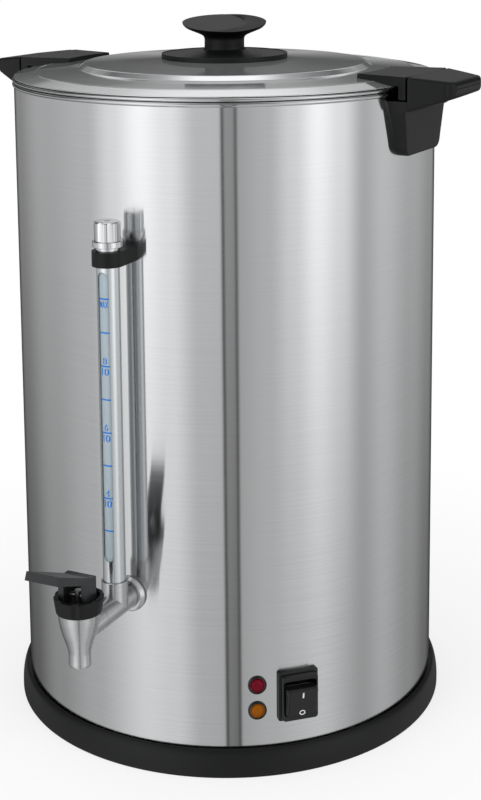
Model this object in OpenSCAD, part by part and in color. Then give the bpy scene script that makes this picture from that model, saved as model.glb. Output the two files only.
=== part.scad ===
// Coffee urn of the percolator kind: a brushed steel jacket round a boiler, a lever tap
// with a sight gauge on its shank, a twist-on lid, two shelf handles and a rocker switch.
// Millimetres, +Z up. The origin is on the axis at table height, and the tap points to -Y.

/* [Vessel] */
// Outer radius of the steel jacket
body_r = 150; // [140:1:165]
// Thickness of the jacket, boiler and lid sheet
sheet = 0.8; // [0.6:0.1:1]
// Height of the roll on the jacket's top edge
rim_z = 452; // [440:1:480]
// Radius of the roll on the jacket's top edge
jacket_bead_r = 1.6; // [1.2:0.1:2]
// Air gap between the jacket and the boiler
air_gap = 5.2; // [4.8:0.1:7]
// Height of the boiler's floor
boiler_floor_z = 101; // [96:1:106]
// Thickness of the boiler's floor
boiler_floor_t = 1; // [0.8:0.1:1.5]
// Radius of the roll on the boiler's rim
boiler_bead_r = 1.15; // [0.9:0.05:1.4]

/* [Base] */
// Height of the rubber feet
foot_h = 3; // [2.5:0.5:5]
// Radius of a rubber foot
foot_r = 10; // [8:1:12]
// Distance of the feet from the axis
foot_reach = 122; // [100:1:124]
// Height of the upright edge at the base ring's foot
base_edge_h = 4; // [2:0.5:6]
// Height of the base ring's top edge
base_top_z = 19; // [18:1:24]
// How far the base ring flares out beyond the jacket
base_flare = 6; // [5:0.5:9]
// Wall of the base ring at its foot
base_wall = 4; // [3:0.5:4.5]
// Thickness of the ledge that carries the jacket
ledge_t = 4; // [3:0.5:5]
// Width of the ledge inside the jacket
ledge_w = 8; // [7:0.5:12]
// Thickness of the bottom plate
plate_t = 1.2; // [0.8:0.1:2]

/* [Lid] */
// Width of the lid's flat flange
flange_w = 15; // [10:1:20]
// Rise of the flange from its edge inwards
flange_rise = 2.45; // [1.5:0.05:4]
// Radius at the foot of the raised step
step_r = 105; // [90:1:115]
// Rise of the sloping ring between flange and step
slope_rise = 2.2; // [1:0.1:4]
// Height of the raised step
step_rise = 3.1; // [2:0.1:5]
// Width of the raised step's slope
step_w = 4.5; // [3:0.5:8]
// Rise of the dome from the step to the knob
dome_rise = 2.5; // [1:0.1:5]
// Depth of the silicone seal inside the boiler's mouth
seal_depth = 5; // [4:0.5:8]
// Thickness of the silicone seal
seal_t = 3.4; // [2.5:0.1:5]

/* [Knob] */
// Radius of the disc at the knob's foot
knob_disc_r = 45; // [35:1:55]
// Thickness of that disc at its rim
knob_disc_t = 3; // [2:0.5:4]
// Radius of the knob's stem
knob_stem_r = 14.2; // [11:0.1:18]
// Height from the lid to the mushroom's widest place
knob_wide_h = 25.2; // [22:0.1:30]
// Radius of the mushroom at its widest place
knob_r = 30; // [26:0.5:34]
// Rise of the mushroom's crown above its widest place
knob_crown = 6.3; // [5:0.1:9]
// Tilt of the flat facet on the crown
facet_tilt = 11; // [4:1:14]
// Turn of the facet's low side from the tap
facet_turn = 23; // [-90:1:90]
// Radius of the screw that holds the knob
knob_screw_r = 2.5; // [2:0.25:3]

/* [Handles] */
// Turn of the right handle from the tap
handle_turn = 85.5; // [80:0.5:100]
// Height of the handles' flat top above the jacket's roll
handle_rise = 12; // [11:0.5:15]
// Gap from the jacket to the arc between handle and lid lug
groove_gap = 11.5; // [10:0.5:15]
// Width of the arc gap between handle and lid lug
groove_w = 0.8; // [0.6:0.1:1.5]
// Reach of the handle's tip from the jacket
handle_reach = 38; // [34:1:60]
// Drop of the handle's top from the arc gap to the tip
handle_drop = 3.2; // [0:0.1:6]
// Half width of the handle at the arc gap
handle_root_hw = 34; // [31:0.5:38]
// Half width of the handle at its tip
handle_tip_hw = 23.5; // [20:0.5:29]
// Round on the tip's upper and lower edges
tip_round = 2; // [1:0.25:2.5]
// Radius of the tip's corners
handle_corner_r = 6; // [3:0.5:10]
// Thickness of the handle at its tip
handle_tip_t = 9; // [6:0.5:11]
// Depth of the handle at the arc gap
handle_root_t = 23; // [22:0.5:30]
// Depth of the lug's hook below the handle's top
hook_depth = 15.5; // [14:0.5:17]
// Length of the leg below the handle's top
leg_len = 54; // [50:1:75]
// Thickness of the leg at its top
leg_top_t = 6.5; // [6:0.5:11]
// Thickness of the leg at its foot
leg_foot_t = 5.5; // [5:0.5:8]
// Half width of the leg below its flare
leg_hw = 32; // [29:0.5:33]
// Half width of the leg at its foot
leg_foot_hw = 28.5; // [24:0.5:29]
// Radius of the leg's lower corners
leg_corner_r = 8; // [4:0.5:12]
// Half angle of a lid lug seen from above
lug_half = 12.4; // [9:0.1:14]
// Radius of a lid lug's inner end
lug_in_r = 121; // [112:1:128]

/* [Tap] */
// Distance of the tap's axis from the jacket
tap_reach = 64; // [58:1:75]
// Height of the shank's axis
tap_z = 122.3; // [120:0.1:130]
// Outer radius of the shank
shank_r = 8.5; // [8:0.1:9.5]
// Radius of the shank's bore
shank_bore_r = 5.5; // [4.5:0.1:6]
// Radius of the escutcheon on the jacket
escutcheon_r = 12.2; // [11:0.1:15]
// Thickness of the escutcheon
escutcheon_t = 4; // [2:0.5:5]
// Height of the tap body's shoulder above the shank's axis
shoulder_h = 14.2; // [13.5:0.1:18]
// Depth of the outlet below the shank's axis
outlet_drop = 20.9; // [18:0.1:26]
// Radius of the tap body at its shoulder
shoulder_r = 13.6; // [12.6:0.1:14.4]
// Radius of the outlet's lip
outlet_r = 7.2; // [6.4:0.1:8]
// Radius of the outlet's bore
outlet_bore_r = 4.8; // [4:0.1:5.2]
// Radius of the chamber in the tap body
chamber_r = 7; // [6.8:0.1:7.2]
// Radius of the threaded neck on the tap body
neck_r = 10.8; // [9.5:0.1:11.2]
// Height of the threaded neck
neck_h = 3.4; // [2.5:0.1:4.5]
// Radius of the bonnet at its top
bonnet_r = 16.2; // [15.5:0.1:18]
// Height of the bonnet
bonnet_h = 10.7; // [9.5:0.1:13]
// Thickness of the bonnet's floor
bonnet_floor_t = 2.3; // [1.8:0.1:2.6]
// Wall of the bonnet's rim
bonnet_wall = 3; // [2.4:0.1:3.2]
// Number of grooves round the bonnet
bonnet_grooves = 8; // [6:1:12]
// Radius of the tap's stem
stem_r = 2.5; // [2:0.1:3]
// Lift of the stem when the lever is pulled
stem_lift = 3; // [2:0.1:3.5]
// Wire radius of the tap's spring
spring_wire_r = 0.5; // [0.4:0.05:0.6]
// Radius of the spring's coil at the middle of the wire
spring_r = 4.2; // [4:0.1:5]
// Turns of the tap's spring
spring_turns = 5; // [4:1:5]

/* [Lever] */
// Radius of the lever's pin
pin_r = 1.5; // [1.2:0.1:2]
// Radius of the round foot of each lever leg
lever_foot_r = 4.5; // [4:0.1:5.5]
// Reach of each leg's toe, which bears on the bonnet's floor and lifts the stem
lever_toe = 7.5; // [6:0.1:7.8]
// Half width of the lever's yoke
yoke_hw = 10.4; // [9.5:0.1:11.8]
// Thickness of each leg of the yoke
yoke_leg_t = 4; // [3:0.1:5]
// Height of the yoke's top above the pin
yoke_top_h = 12.9; // [11:0.1:15]
// Thickness of the lever
lever_t = 5.6; // [4.5:0.1:6.5]
// Length of the lever's paddle from the tap's axis
lever_len = 42.7; // [36:0.1:70]
// Rise of the paddle above the level
lever_rise = 22.6; // [15:0.1:28]
// Half width of the paddle at its tip
paddle_hw = 11.7; // [8:0.1:13]

/* [Gauge] */
// Distance of the gauge's axis from the jacket
gauge_reach = 19.3; // [18:0.1:24]
// Outer radius of the tee socket under the gauge
tee_r = 8.75; // [8.5:0.05:10]
// Height of the tee socket above the shank's axis
tee_h = 17.7; // [16:0.1:24]
// Outer radius of the gauge's shield tube
shield_r = 7.5; // [7.2:0.1:7.8]
// Wall of the shield tube
shield_wall = 1; // [0.6:0.1:1.2]
// Height of the shield tube's top
shield_top_z = 362.5; // [340:0.5:380]
// Outer radius of the sight glass
glass_r = 5.5; // [4.5:0.1:5.8]
// Wall of the sight glass
glass_wall = 1.2; // [0.8:0.1:1.5]
// Width of the window in the shield
window_w = 8; // [5:0.1:9]
// Height of the window's lower end
window_z0 = 154.5; // [146:0.5:180]
// Height of the window's upper end
window_z1 = 347.3; // [300:0.5:348]
// Height of the clip band's lower edge
clip_z = 350.5; // [349:0.5:352]
// Height of the clip band
clip_h = 9.7; // [7:0.1:10]
// Wall of the clip band
clip_wall = 2.7; // [2:0.1:3.5]
// Radius of the cap's collar
cap_collar_r = 9.85; // [9:0.05:11]
// Height of the cap's collar
cap_collar_h = 4; // [3:0.1:6]
// Radius of the cap's fluted body
cap_r = 8.5; // [8:0.1:9.5]
// Height of the whole cap
cap_h = 16.5; // [14:0.1:20]
// Number of flutes on the cap
cap_flutes = 8; // [6:1:10]

/* [Switch and lamps] */
// Turn of the switch from the tap
switch_turn = 43.7; // [40:0.1:60]
// Height of the switch's middle
switch_z = 54; // [48:0.5:60]
// Width of the switch's bezel
bezel_w = 28; // [26:0.5:32]
// Height of the switch's bezel
bezel_h = 34.5; // [33:0.5:38]
// Thickness of the bezel's flange
bezel_t = 2.5; // [1.5:0.1:3]
// Height of the bezel's collar in front of the jacket
collar_out = 7; // [6:0.1:7.5]
// Wall of the bezel's collar
collar_wall = 1.2; // [0.8:0.1:1.5]
// Margin of the flange outside the collar
bezel_margin = 1.6; // [1.2:0.1:2]
// Height of the rocker's face
rocker_h = 21; // [18:0.5:22]
// Stand of the rocker's face in front of the collar
rocker_rise = 4.2; // [3.5:0.1:5]
// Depth of the switch body behind the jacket
switch_depth = 26; // [18:1:32]
// Tilt of the rocker each way from the level
rocker_tilt = 10; // [7:0.5:10]
// Turn of the lamps from the tap
lamp_turn = 33.2; // [25:0.1:34]
// Height of the upper lamp
lamp_top_z = 63; // [60:0.5:66]
// Spacing of the two lamps
lamp_pitch = 18; // [16:0.5:22]
// Radius of a lamp's bezel
lamp_r = 6.1; // [5.8:0.1:7.5]
// Radius of a lamp's lens
lens_r = 4.75; // [4:0.05:5]
// Depth of a lamp's barrel behind the jacket
lamp_depth = 12; // [9:0.5:16]

/* [Cord inlet] */
// Height of the cord gland on the back
gland_z = 45; // [40:1:60]
// Radius of the gland's bore for the cord
gland_bore_r = 4; // [3:0.1:4.5]
// Radius of the gland's thread
gland_thread_r = 8; // [7:0.1:9]
// Radius of the gland's head
gland_head_r = 11; // [10:0.1:13]
// Length of the gland's head outside the jacket
gland_head_l = 5.5; // [4:0.5:8]

/* [Percolator] */
// Radius of the pump tube
tube_r = 6; // [5:0.1:8]
// Wall of the pump tube
tube_wall = 1.2; // [0.8:0.1:1.5]
// Height of the pump tube's top
tube_top_z = 440; // [432:1:450]
// Radius of the pump's foot
pump_foot_r = 26; // [20:1:32]
// Height of the pump's bell
pump_bell_h = 12; // [10:0.5:16]
// Radius of the pump's valve disc
valve_r = 13; // [10:0.5:16]
// Lift of the valve disc
valve_lift = 3; // [2:0.5:4]
// Radius of the coffee basket
basket_r = 100; // [85:1:110]
// Height of the coffee basket's floor
basket_z = 345; // [335:1:355]
// Depth of the coffee basket
basket_depth = 79; // [60:1:80]
// Radius of the holes in basket and spreader
perforation_r = 1.6; // [1:0.1:2]
// Holes in the inner ring of the perforation
perforation_count = 10; // [6:1:14]

/* [Heating] */
// Radius of the brewing heater's plate
heater_r = 55; // [45:1:60]
// Thickness of the heaters' plates
heater_t = 3; // [2:0.5:4]
// Radius of the brewing heater's ring
heater_ring_r = 38; // [30:1:42]
// Radius of the brewing heater's tube
heater_tube_r = 4; // [3:0.5:5]
// Inner radius of the keep-warm heater
warm_in_r = 70; // [66:1:74]
// Outer radius of the keep-warm heater
warm_out_r = 95; // [86:1:98]
// Distance of thermostat and cut-out from the axis
sensor_reach = 112; // [110:1:116]
// Radius of thermostat and cut-out
sensor_r = 9; // [7:0.5:10]
// Height of thermostat and cut-out
sensor_h = 11; // [8:0.5:14]

/* [Fits] */
// Gap between pieces that rest on each other but move apart
rest_gap = 0.3; // [0.2:0.05:0.4]
// Gap between pieces that are fixed to each other
fix_gap = 0.1; // [0.05:0.05:0.2]
// Radial clearance of pins and stems in their bores
run_gap = 0.05; // [0.02:0.01:0.1]
// Radius of the small fixing screws
screw_r = 2; // [1.5:0.1:2.2]
// Radius of the small fixing screws' heads
screw_head_r = 3.8; // [3.2:0.1:4]
// Height of the small fixing screws' heads
screw_head_h = 1.6; // [1.2:0.1:2]

/* [Hidden] */
$fn = 96;

// Colours
steel = [0.72, 0.73, 0.73];
satin = [0.66, 0.67, 0.68];
black = [0.09, 0.1, 0.1];
rubber = [0.05, 0.05, 0.05];
silicone = [0.82, 0.8, 0.76];
zinc = [0.6, 0.6, 0.58];

// Vessel and base
boiler_r = body_r - sheet - air_gap;
boiler_in_r = boiler_r - sheet;
boiler_rim_z = rim_z + jacket_bead_r + rest_gap + boiler_bead_r;
base_r = body_r + base_flare;
base_in_r = base_r - base_wall;
lip_h = 2;
base_lip_r = body_r + fix_gap + 0.6;
jacket_z = base_top_z - lip_h;
ledge_z = jacket_z - ledge_t;
plate_z = foot_h + plate_t;
boss_r = screw_r + 2.5;
boss_reach = body_r - ledge_w + boss_r;
floor_z = boiler_floor_z - boiler_floor_t;

// Lid outline: radius and height of each bend on its upper side, from the edge inwards
lid_r = body_r;
lid_edge_z = boiler_rim_z + boiler_bead_r + rest_gap + sheet;
flange_z = lid_edge_z + flange_rise;
slope_z = flange_z + slope_rise;
step_z = slope_z + step_rise;
lid_top_z = step_z + dome_rise;
lid_bends = [
    [lid_r, lid_edge_z],
    [lid_r - flange_w, flange_z],
    [step_r, slope_z],
    [step_r - step_w, step_z],
    [knob_disc_r, lid_top_z],
];
function lid_z(r) = lookup(r, [for (p = lid_bends) p]);
knob_z = lid_top_z;
knob_wide_z = knob_z + knob_wide_h;
knob_top_z = knob_wide_z + knob_crown;
knob_neck_z = knob_z + knob_disc_t + 2.5;

// Handles and lugs
handle_top_z = rim_z + handle_rise;
groove_r = body_r + groove_gap;
lug_out_r = groove_r - groove_w;
hook_z = handle_top_z - hook_depth;
hook_gap = 3.4;
hook_in_r = body_r + jacket_bead_r + hook_gap;
screw_end = 1.5;
shelf_z = hook_z - groove_w;
handle_tip_r = body_r + handle_reach;
handle_tip_z = handle_top_z - handle_drop;
leg_foot_z = handle_top_z - leg_len;
leg_flare_h = 10;
leg_flare_z = shelf_z - leg_flare_h;
handle_screw_heights = [leg_foot_z + 12, leg_flare_z];
cut_over = 1;
wall_cut = 10;
root_in_r = body_r - 2 * wall_cut;
lug_screw_reach = (lug_in_r + lid_r - flange_w) / 2;
lug_screw_turn = lug_half / 2;

// Tap
tap_o = body_r + tap_reach;
shoulder_z = tap_z + shoulder_h;
outlet_z = tap_z - outlet_drop;
seat_z = tap_z - shank_bore_r + 0.3;
neck_z = shoulder_z + neck_h;
bonnet_z = shoulder_z + fix_gap;
bonnet_top_z = bonnet_z + bonnet_h;
cavity_z = neck_z + fix_gap;
recess_z = cavity_z + bonnet_floor_t;
pin_z = recess_z + rest_gap + lever_foot_r;
yoke_top_z = pin_z + yoke_top_h;
stub_l = chamber_r + 15;
outlet_bulge = 0.1;
cup_h = 3.6;
groove_cut_r = 3;
groove_off = 2.2;
stem_over = 3.5;
coil_steps = 12;
coil_sides = 6;
collar_z = seat_z + cup_h + stem_lift + 1;
collar_t = 1.4;
spring_z0 = collar_z + collar_t + spring_wire_r + fix_gap;
spring_z1 = cavity_z - spring_wire_r - fix_gap;
nut_o = boiler_in_r - 9;
nut_r = shank_r + 5;
gasket_o = sqrt(boiler_in_r * boiler_in_r - nut_r * nut_r) - fix_gap;
gasket_t = 2;

// Gauge
gauge_o = body_r + gauge_reach;
tee_z = tap_z + tee_h;
shield_z = tee_z - 4;
glass_z = shield_z - 5;
glass_seal_t = 1;
cap_z = shield_top_z + rest_gap;
glass_top_z = cap_z + 6;
vent_r = 1.5;
flute_r = 5;
flute_depth = 0.7;
clip_in_r = shield_r + fix_gap;
clip_out_r = clip_in_r + clip_wall;
clip_mid_z = clip_z + clip_h / 2;
clip_screw_l = 5.5;

// Switch
collar_w = bezel_w - 2 * bezel_margin;
collar_h = bezel_h - 2 * bezel_margin;
mouth_w = collar_w - 2 * collar_wall;
mouth_h = rocker_h + 3;
bezel_o = body_r + fix_gap;
skirt_o = bezel_o - 5;
rocker_o = body_r + 0.5;
rocker_w = mouth_w - 2 * rest_gap;
rocker_end = rocker_h / 2;
rocker_end_o = collar_out + rocker_rise;
rocker_mid_o = rocker_end_o - 0.4;
rocker_hub_r = 4;
lamp_heights = [lamp_top_z, lamp_top_z - lamp_pitch];
barrel_r = lamp_r - 0.8;
lamp_lip = 1.8;
lens_o = body_r - lamp_depth + 6;
lens_dome = 1.8;
lens_l = body_r + 1.2 - lens_o;
bulb_r = lens_r - 1.5;
holder_l = 12;

// Connector blades and terminal block
heater_pin_x = 6;
heater_pin_l = 12;
blade_w = 4;
blade_t = 0.8;
blade_l = 8;
terminal_y = 70;
terminal_w = 44;
terminal_d = 22;
terminal_h = 18;
terminal_bore_r = 3.2;

// Cord inlet
gland_in_o = body_r - 16;
gland_nut_t = 5;
gland_nut_o = sqrt(pow(body_r - sheet, 2) - gland_head_r * gland_head_r) - fix_gap;

// Percolator
pump_z = boiler_floor_z + rest_gap;
pump_floor_t = 1.7;
valve_z = pump_z + pump_floor_t;
valve_t = 1.2;
valve_seat_w = 4;
bell_rim = 4;
stop_t = 2;
basket_fit = 0.4;
perforation_margin = 12;
basket_floor_t = 1.2;
basket_wall = 1;
basket_rim_w = 5;
stop_z = basket_z - rest_gap;
basket_top_z = basket_z + basket_depth;
spreader_z = basket_top_z + rest_gap;

function arc(c, r, a0, a1, n = 8) =
    [for (i = [0:n]) c + r * [cos(a0 + (a1 - a0) * i / n), sin(a0 + (a1 - a0) * i / n)]];

// Turns a piece from the tap's side round the axis
module at(turn) rotate([0, 0, turn]) children();

// Round bar that points outwards, from o0 to o1 off the axis, at height z
module bar(r, o0, o1, z, u = 0)
    translate([u, -o0, z]) rotate([90, 0, 0]) cylinder(h = o1 - o0, r = r);

// Block of width w, from o0 to o1 off the axis and from z0 to z1
module block(w, o0, o1, z0, z1)
    translate([-w / 2, -o1, z0]) cube([w, o1 - o0, z1 - z0]);

// Carries an outline of distance and height across the width w
module side(w) rotate([90, 0, -90]) linear_extrude(height = w, center = true) children();

// Carries an outline of width and height outwards from o0 to o1
module front(o0, o1) translate([0, -o0, 0]) rotate([90, 0, 0]) linear_extrude(height = o1 - o0) children();

module ring(r_out, r_in, z0, z1)
    translate([0, 0, z0]) difference() {
        cylinder(h = z1 - z0, r = r_out);
        translate([0, 0, -1]) cylinder(h = z1 - z0 + 2, r = r_in);
    }

// Vessel

module jacket_openings() {
    bar(shank_r + rest_gap, body_r - wall_cut, body_r + wall_cut, tap_z);
    bar(screw_r + fix_gap, body_r - wall_cut, body_r + wall_cut, clip_mid_z);
    at(switch_turn)
        block(collar_w + 2 * fix_gap, body_r - wall_cut, body_r + wall_cut,
            switch_z - collar_h / 2 - fix_gap, switch_z + collar_h / 2 + fix_gap);
    at(lamp_turn) for (z = lamp_heights) bar(barrel_r + fix_gap, body_r - wall_cut, body_r + wall_cut, z);
    at(180) bar(gland_thread_r + fix_gap, body_r - wall_cut, body_r + wall_cut, gland_z);
    for (turn = [handle_turn, handle_turn + 180], z = handle_screw_heights)
        at(turn) bar(screw_r + fix_gap, body_r - wall_cut, body_r + wall_cut, z);
}

module outer_jacket()
    color(steel) difference() {
        rotate_extrude($fn = 180) {
            translate([body_r - sheet, jacket_z]) square([sheet, rim_z - jacket_z]);
            translate([body_r - sheet / 2, rim_z]) circle(r = jacket_bead_r, $fn = 32);
        }
        jacket_openings();
    }

module boiler()
    color(steel) difference() {
        rotate_extrude($fn = 180) {
            translate([0, floor_z]) square([boiler_r, boiler_floor_t]);
            translate([boiler_in_r, floor_z]) square([sheet, boiler_rim_z - floor_z]);
            translate([boiler_in_r, boiler_rim_z - sheet / 2]) square([body_r - boiler_in_r, sheet]);
            translate([body_r, boiler_rim_z]) circle(r = boiler_bead_r, $fn = 32);
        }
        bar(shank_r + rest_gap, boiler_r - 10, boiler_r + 5, tap_z);
    }

module base_ring()
    color(black) difference() {
        union() {
            rotate_extrude($fn = 180) polygon(concat(
                [[base_in_r, 0], [base_r, 0]],
                [for (i = [0:8]) let (a = 90 * i / 8)
                    [base_lip_r + (base_r - base_lip_r) * cos(a),
                     base_edge_h + (base_top_z - base_edge_h) * sin(a)]],
                [[body_r + fix_gap, base_top_z], [body_r + fix_gap, jacket_z],
                 [body_r - ledge_w, jacket_z], [body_r - ledge_w, ledge_z], [base_in_r, ledge_z]]
            ));
            for (turn = [0:90:270])
                at(turn) translate([0, -boss_reach, plate_z]) cylinder(h = ledge_z - plate_z + 1, r = boss_r);
        }
        for (turn = [0:90:270])
            at(turn) translate([0, -boss_reach, plate_z - 1])
                cylinder(h = ledge_z - plate_z, r = screw_r + run_gap);
    }

module bottom_plate()
    color(zinc) difference() {
        translate([0, 0, foot_h]) cylinder(h = plate_t, r = base_in_r - rest_gap);
        for (turn = [0:90:270])
            at(turn) translate([0, -boss_reach, foot_h - 1]) cylinder(h = plate_t + 2, r = screw_r + fix_gap);
    }

module rubber_feet()
    color(rubber) for (turn = [45:90:315])
        at(turn) translate([0, -foot_reach, 0]) cylinder(h = foot_h, r1 = foot_r - 1, r2 = foot_r);

module bottom_screws()
    color(zinc) for (turn = [0:90:270])
        at(turn) translate([0, -boss_reach, foot_h - screw_head_h]) {
            cylinder(h = screw_head_h, r = screw_head_r);
            cylinder(h = screw_head_h + ledge_z - foot_h - 3, r = screw_r);
        }

// Heating and wiring under the boiler

module brew_heater()
    color([0.7, 0.68, 0.64]) {
        translate([0, 0, floor_z - heater_t]) cylinder(h = heater_t, r = heater_r);
        translate([0, 0, floor_z - heater_t - heater_tube_r / 2])
            rotate_extrude() translate([heater_ring_r, 0]) circle(r = heater_tube_r, $fn = 32);
        for (x = [-heater_pin_x, heater_pin_x])
            translate([x, heater_ring_r, floor_z - heater_t - heater_tube_r - heater_pin_l])
                cylinder(h = heater_pin_l + cut_over, r = heater_tube_r / 2);
    }

module keep_warm_heater()
    color([0.62, 0.58, 0.5]) {
        ring(warm_out_r, warm_in_r, floor_z - heater_t, floor_z);
        blades(-warm_in_r - 10, floor_z - heater_t);
    }

module sensor(turn)
    at(turn) translate([0, -sensor_reach, floor_z - sensor_h]) {
        cylinder(h = sensor_h, r = sensor_r);
        blades(0, 0);
    }

// Two flat connector blades under z, at the distance y from the middle
module blades(y, z)
    for (x = [-blade_w, blade_w])
        translate([x - blade_w / 2, y - blade_t / 2, z - blade_l]) cube([blade_w, blade_t, blade_l + 0.5]);

module thermostat() color([0.16, 0.16, 0.15]) sensor(120);

module thermal_cutout() color([0.75, 0.75, 0.72]) sensor(240);

module terminal_block()
    color([0.85, 0.84, 0.78]) difference() {
        translate([-terminal_w / 2, terminal_y, plate_z]) cube([terminal_w, terminal_d, terminal_h]);
        for (x = [-1, 0, 1])
            translate([x * terminal_w / 3, terminal_y + terminal_d / 2, plate_z + terminal_h / 3])
                cylinder(h = terminal_h, r = terminal_bore_r);
    }

module cord_gland()
    color(black) at(180) difference() {
        union() {
            bar(gland_head_r, bezel_o, bezel_o + gland_head_l, gland_z);
            bar(gland_thread_r, gland_in_o, bezel_o + 1, gland_z);
        }
        bar(gland_bore_r, gland_in_o - 1, bezel_o + gland_head_l + 1, gland_z);
    }

module gland_nut()
    color(black) at(180) difference() {
        translate([0, -gland_nut_o + gland_nut_t, gland_z]) rotate([90, 0, 0])
            cylinder(h = gland_nut_t, r = gland_head_r, $fn = 6);
        bar(gland_thread_r + run_gap, gland_in_o - 1, body_r, gland_z);
    }

// Switch and lamps

module switch_bezel()
    color(black) at(switch_turn) difference() {
        union() {
            block(bezel_w, bezel_o, bezel_o + bezel_t, switch_z - bezel_h / 2, switch_z + bezel_h / 2);
            block(collar_w, skirt_o, body_r + collar_out, switch_z - collar_h / 2, switch_z + collar_h / 2);
        }
        block(mouth_w, skirt_o - 1, body_r + collar_out + 1, switch_z - mouth_h / 2, switch_z + mouth_h / 2);
        switch_axis(pin_r, collar_w + 2);
    }

// Bar across the switch on the rocker's axis
module switch_axis(r, w)
    translate([-w / 2, -rocker_o, switch_z]) rotate([0, 90, 0]) cylinder(h = w, r = r);

module switch_body()
    color([0.13, 0.13, 0.13]) at(switch_turn) {
        block(collar_w, body_r - switch_depth, skirt_o, switch_z - collar_h / 2, switch_z + collar_h / 2);
        for (z = [-2, 0, 2], x = [-6, 6])
            translate([x, 0, z * blade_w])
                block(blade_t, body_r - switch_depth - blade_l, body_r - switch_depth + cut_over,
                    switch_z - blade_w / 2, switch_z + blade_w / 2);
    }

module switch_pivot() color(zinc) at(switch_turn) switch_axis(pin_r - run_gap, collar_w);

module switch_rocker()
    color(black) at(switch_turn) translate([0, -rocker_o, switch_z]) rotate([rocker_tilt, 0, 0])
        difference() {
            union() {
                side(rocker_w) polygon([
                    [rocker_end_o, rocker_end], [rocker_mid_o, 0], [rocker_end_o, -rocker_end],
                    [3, -rocker_end + 0.7], [-2, -rocker_end + 5], [-2, rocker_end - 5], [3, rocker_end - 0.7]
                ]);
                side(rocker_w) circle(r = rocker_hub_r, $fn = 48);
            }
            translate([-rocker_w, 0, 0]) rotate([0, 90, 0]) cylinder(h = 2 * rocker_w, r = pin_r);
        }

module lamp_bezels()
    color([0.12, 0.1, 0.1]) at(lamp_turn) for (z = lamp_heights)
        difference() {
            union() {
                bar(lamp_r, bezel_o, bezel_o + lamp_lip, z);
                bar(barrel_r, body_r - lamp_depth, bezel_o + 1, z);
            }
            bar(lens_r + fix_gap, body_r - lamp_depth - 1, bezel_o + lamp_lip + 1, z);
        }

// Clear lens with a low dome in front
module lens(z)
    at(lamp_turn) translate([0, -lens_o, z]) rotate([90, 0, 0])
        rotate_extrude($fn = 64) polygon(concat(
            [[0, 0], [lens_r, 0], [lens_r, lens_l]],
            [for (i = [1:6]) [lens_r * cos(15 * i), lens_l + lens_dome * sin(15 * i)]]
        ));

module red_lens() color([0.62, 0.05, 0.1]) lens(lamp_heights[0]);

module amber_lens() color([0.85, 0.42, 0.08]) lens(lamp_heights[1]);

module lamp_holders()
    color([0.85, 0.83, 0.78]) at(lamp_turn) for (z = lamp_heights) {
        bar(barrel_r, body_r - lamp_depth - holder_l, body_r - lamp_depth, z);
        bar(bulb_r, body_r - lamp_depth - cut_over, lens_o - 0.5, z);
    }

// Tap

module tap_shank()
    color(satin) difference() {
        union() {
            bar(shank_r, nut_o - 4, tap_o - stub_l, tap_z);
            translate([0, -gauge_o, tap_z]) cylinder(h = tee_h, r = tee_r);
        }
        bar(shank_bore_r, nut_o - 5, tap_o, tap_z);
        translate([0, -gauge_o, 0]) {
            translate([0, 0, tap_z]) cylinder(h = tee_h, r = glass_r - glass_wall);
            translate([0, 0, glass_z - glass_seal_t - fix_gap]) cylinder(h = tee_h, r = glass_r + fix_gap);
            translate([0, 0, shield_z]) cylinder(h = tee_h, r = shield_r + fix_gap);
        }
    }

module escutcheon()
    color(satin) translate([0, -bezel_o, tap_z]) rotate([90, 0, 0])
        rotate_extrude() polygon(concat(
            [[shank_r + fix_gap, 0], [escutcheon_r, 0]],
            arc([escutcheon_r - 1.4, escutcheon_t - 1.4], 1.4, 0, 90, 4),
            [[shank_r + fix_gap, escutcheon_t]]
        ));

module shank_gasket()
    color(silicone) difference() {
        bar(nut_r, gasket_o - gasket_t, gasket_o, tap_z);
        bar(shank_r + fix_gap, gasket_o - gasket_t - 1, gasket_o + 1, tap_z);
    }

module shank_nut()
    color(satin) difference() {
        translate([0, -nut_o, tap_z]) rotate([90, 0, 0])
            cylinder(h = gasket_o - gasket_t - nut_o, r = nut_r, $fn = 6);
        bar(shank_r + run_gap, nut_o - 1, body_r, tap_z);
    }

module tap_body()
    color(satin) translate([0, -tap_o, 0]) difference() {
        union() {
            rotate_extrude() polygon(concat(
                [[0, outlet_z], [outlet_r, outlet_z]],
                [for (i = [1:12]) let (t = i / 12) [
                    outlet_r + outlet_bulge * sin(180 * min(1, t * 1.6))
                        + (shoulder_r - outlet_r) * pow(max(0, t - 0.2) / 0.8, 1.2),
                    outlet_z + (shoulder_z - outlet_z) * t]],
                [[neck_r, shoulder_z], [neck_r, neck_z], [0, neck_z]]
            ));
            translate([0, 0, tap_z]) rotate([-90, 0, 0]) cylinder(h = stub_l - fix_gap, r = shank_r);
        }
        translate([0, 0, outlet_z - cut_over]) cylinder(h = neck_z - outlet_z, r = outlet_bore_r);
        translate([0, 0, seat_z]) cylinder(h = neck_z - seat_z + cut_over, r = chamber_r);
        translate([0, 0, tap_z]) rotate([-90, 0, 0]) cylinder(h = stub_l + 1, r = shank_bore_r);
    }

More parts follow.
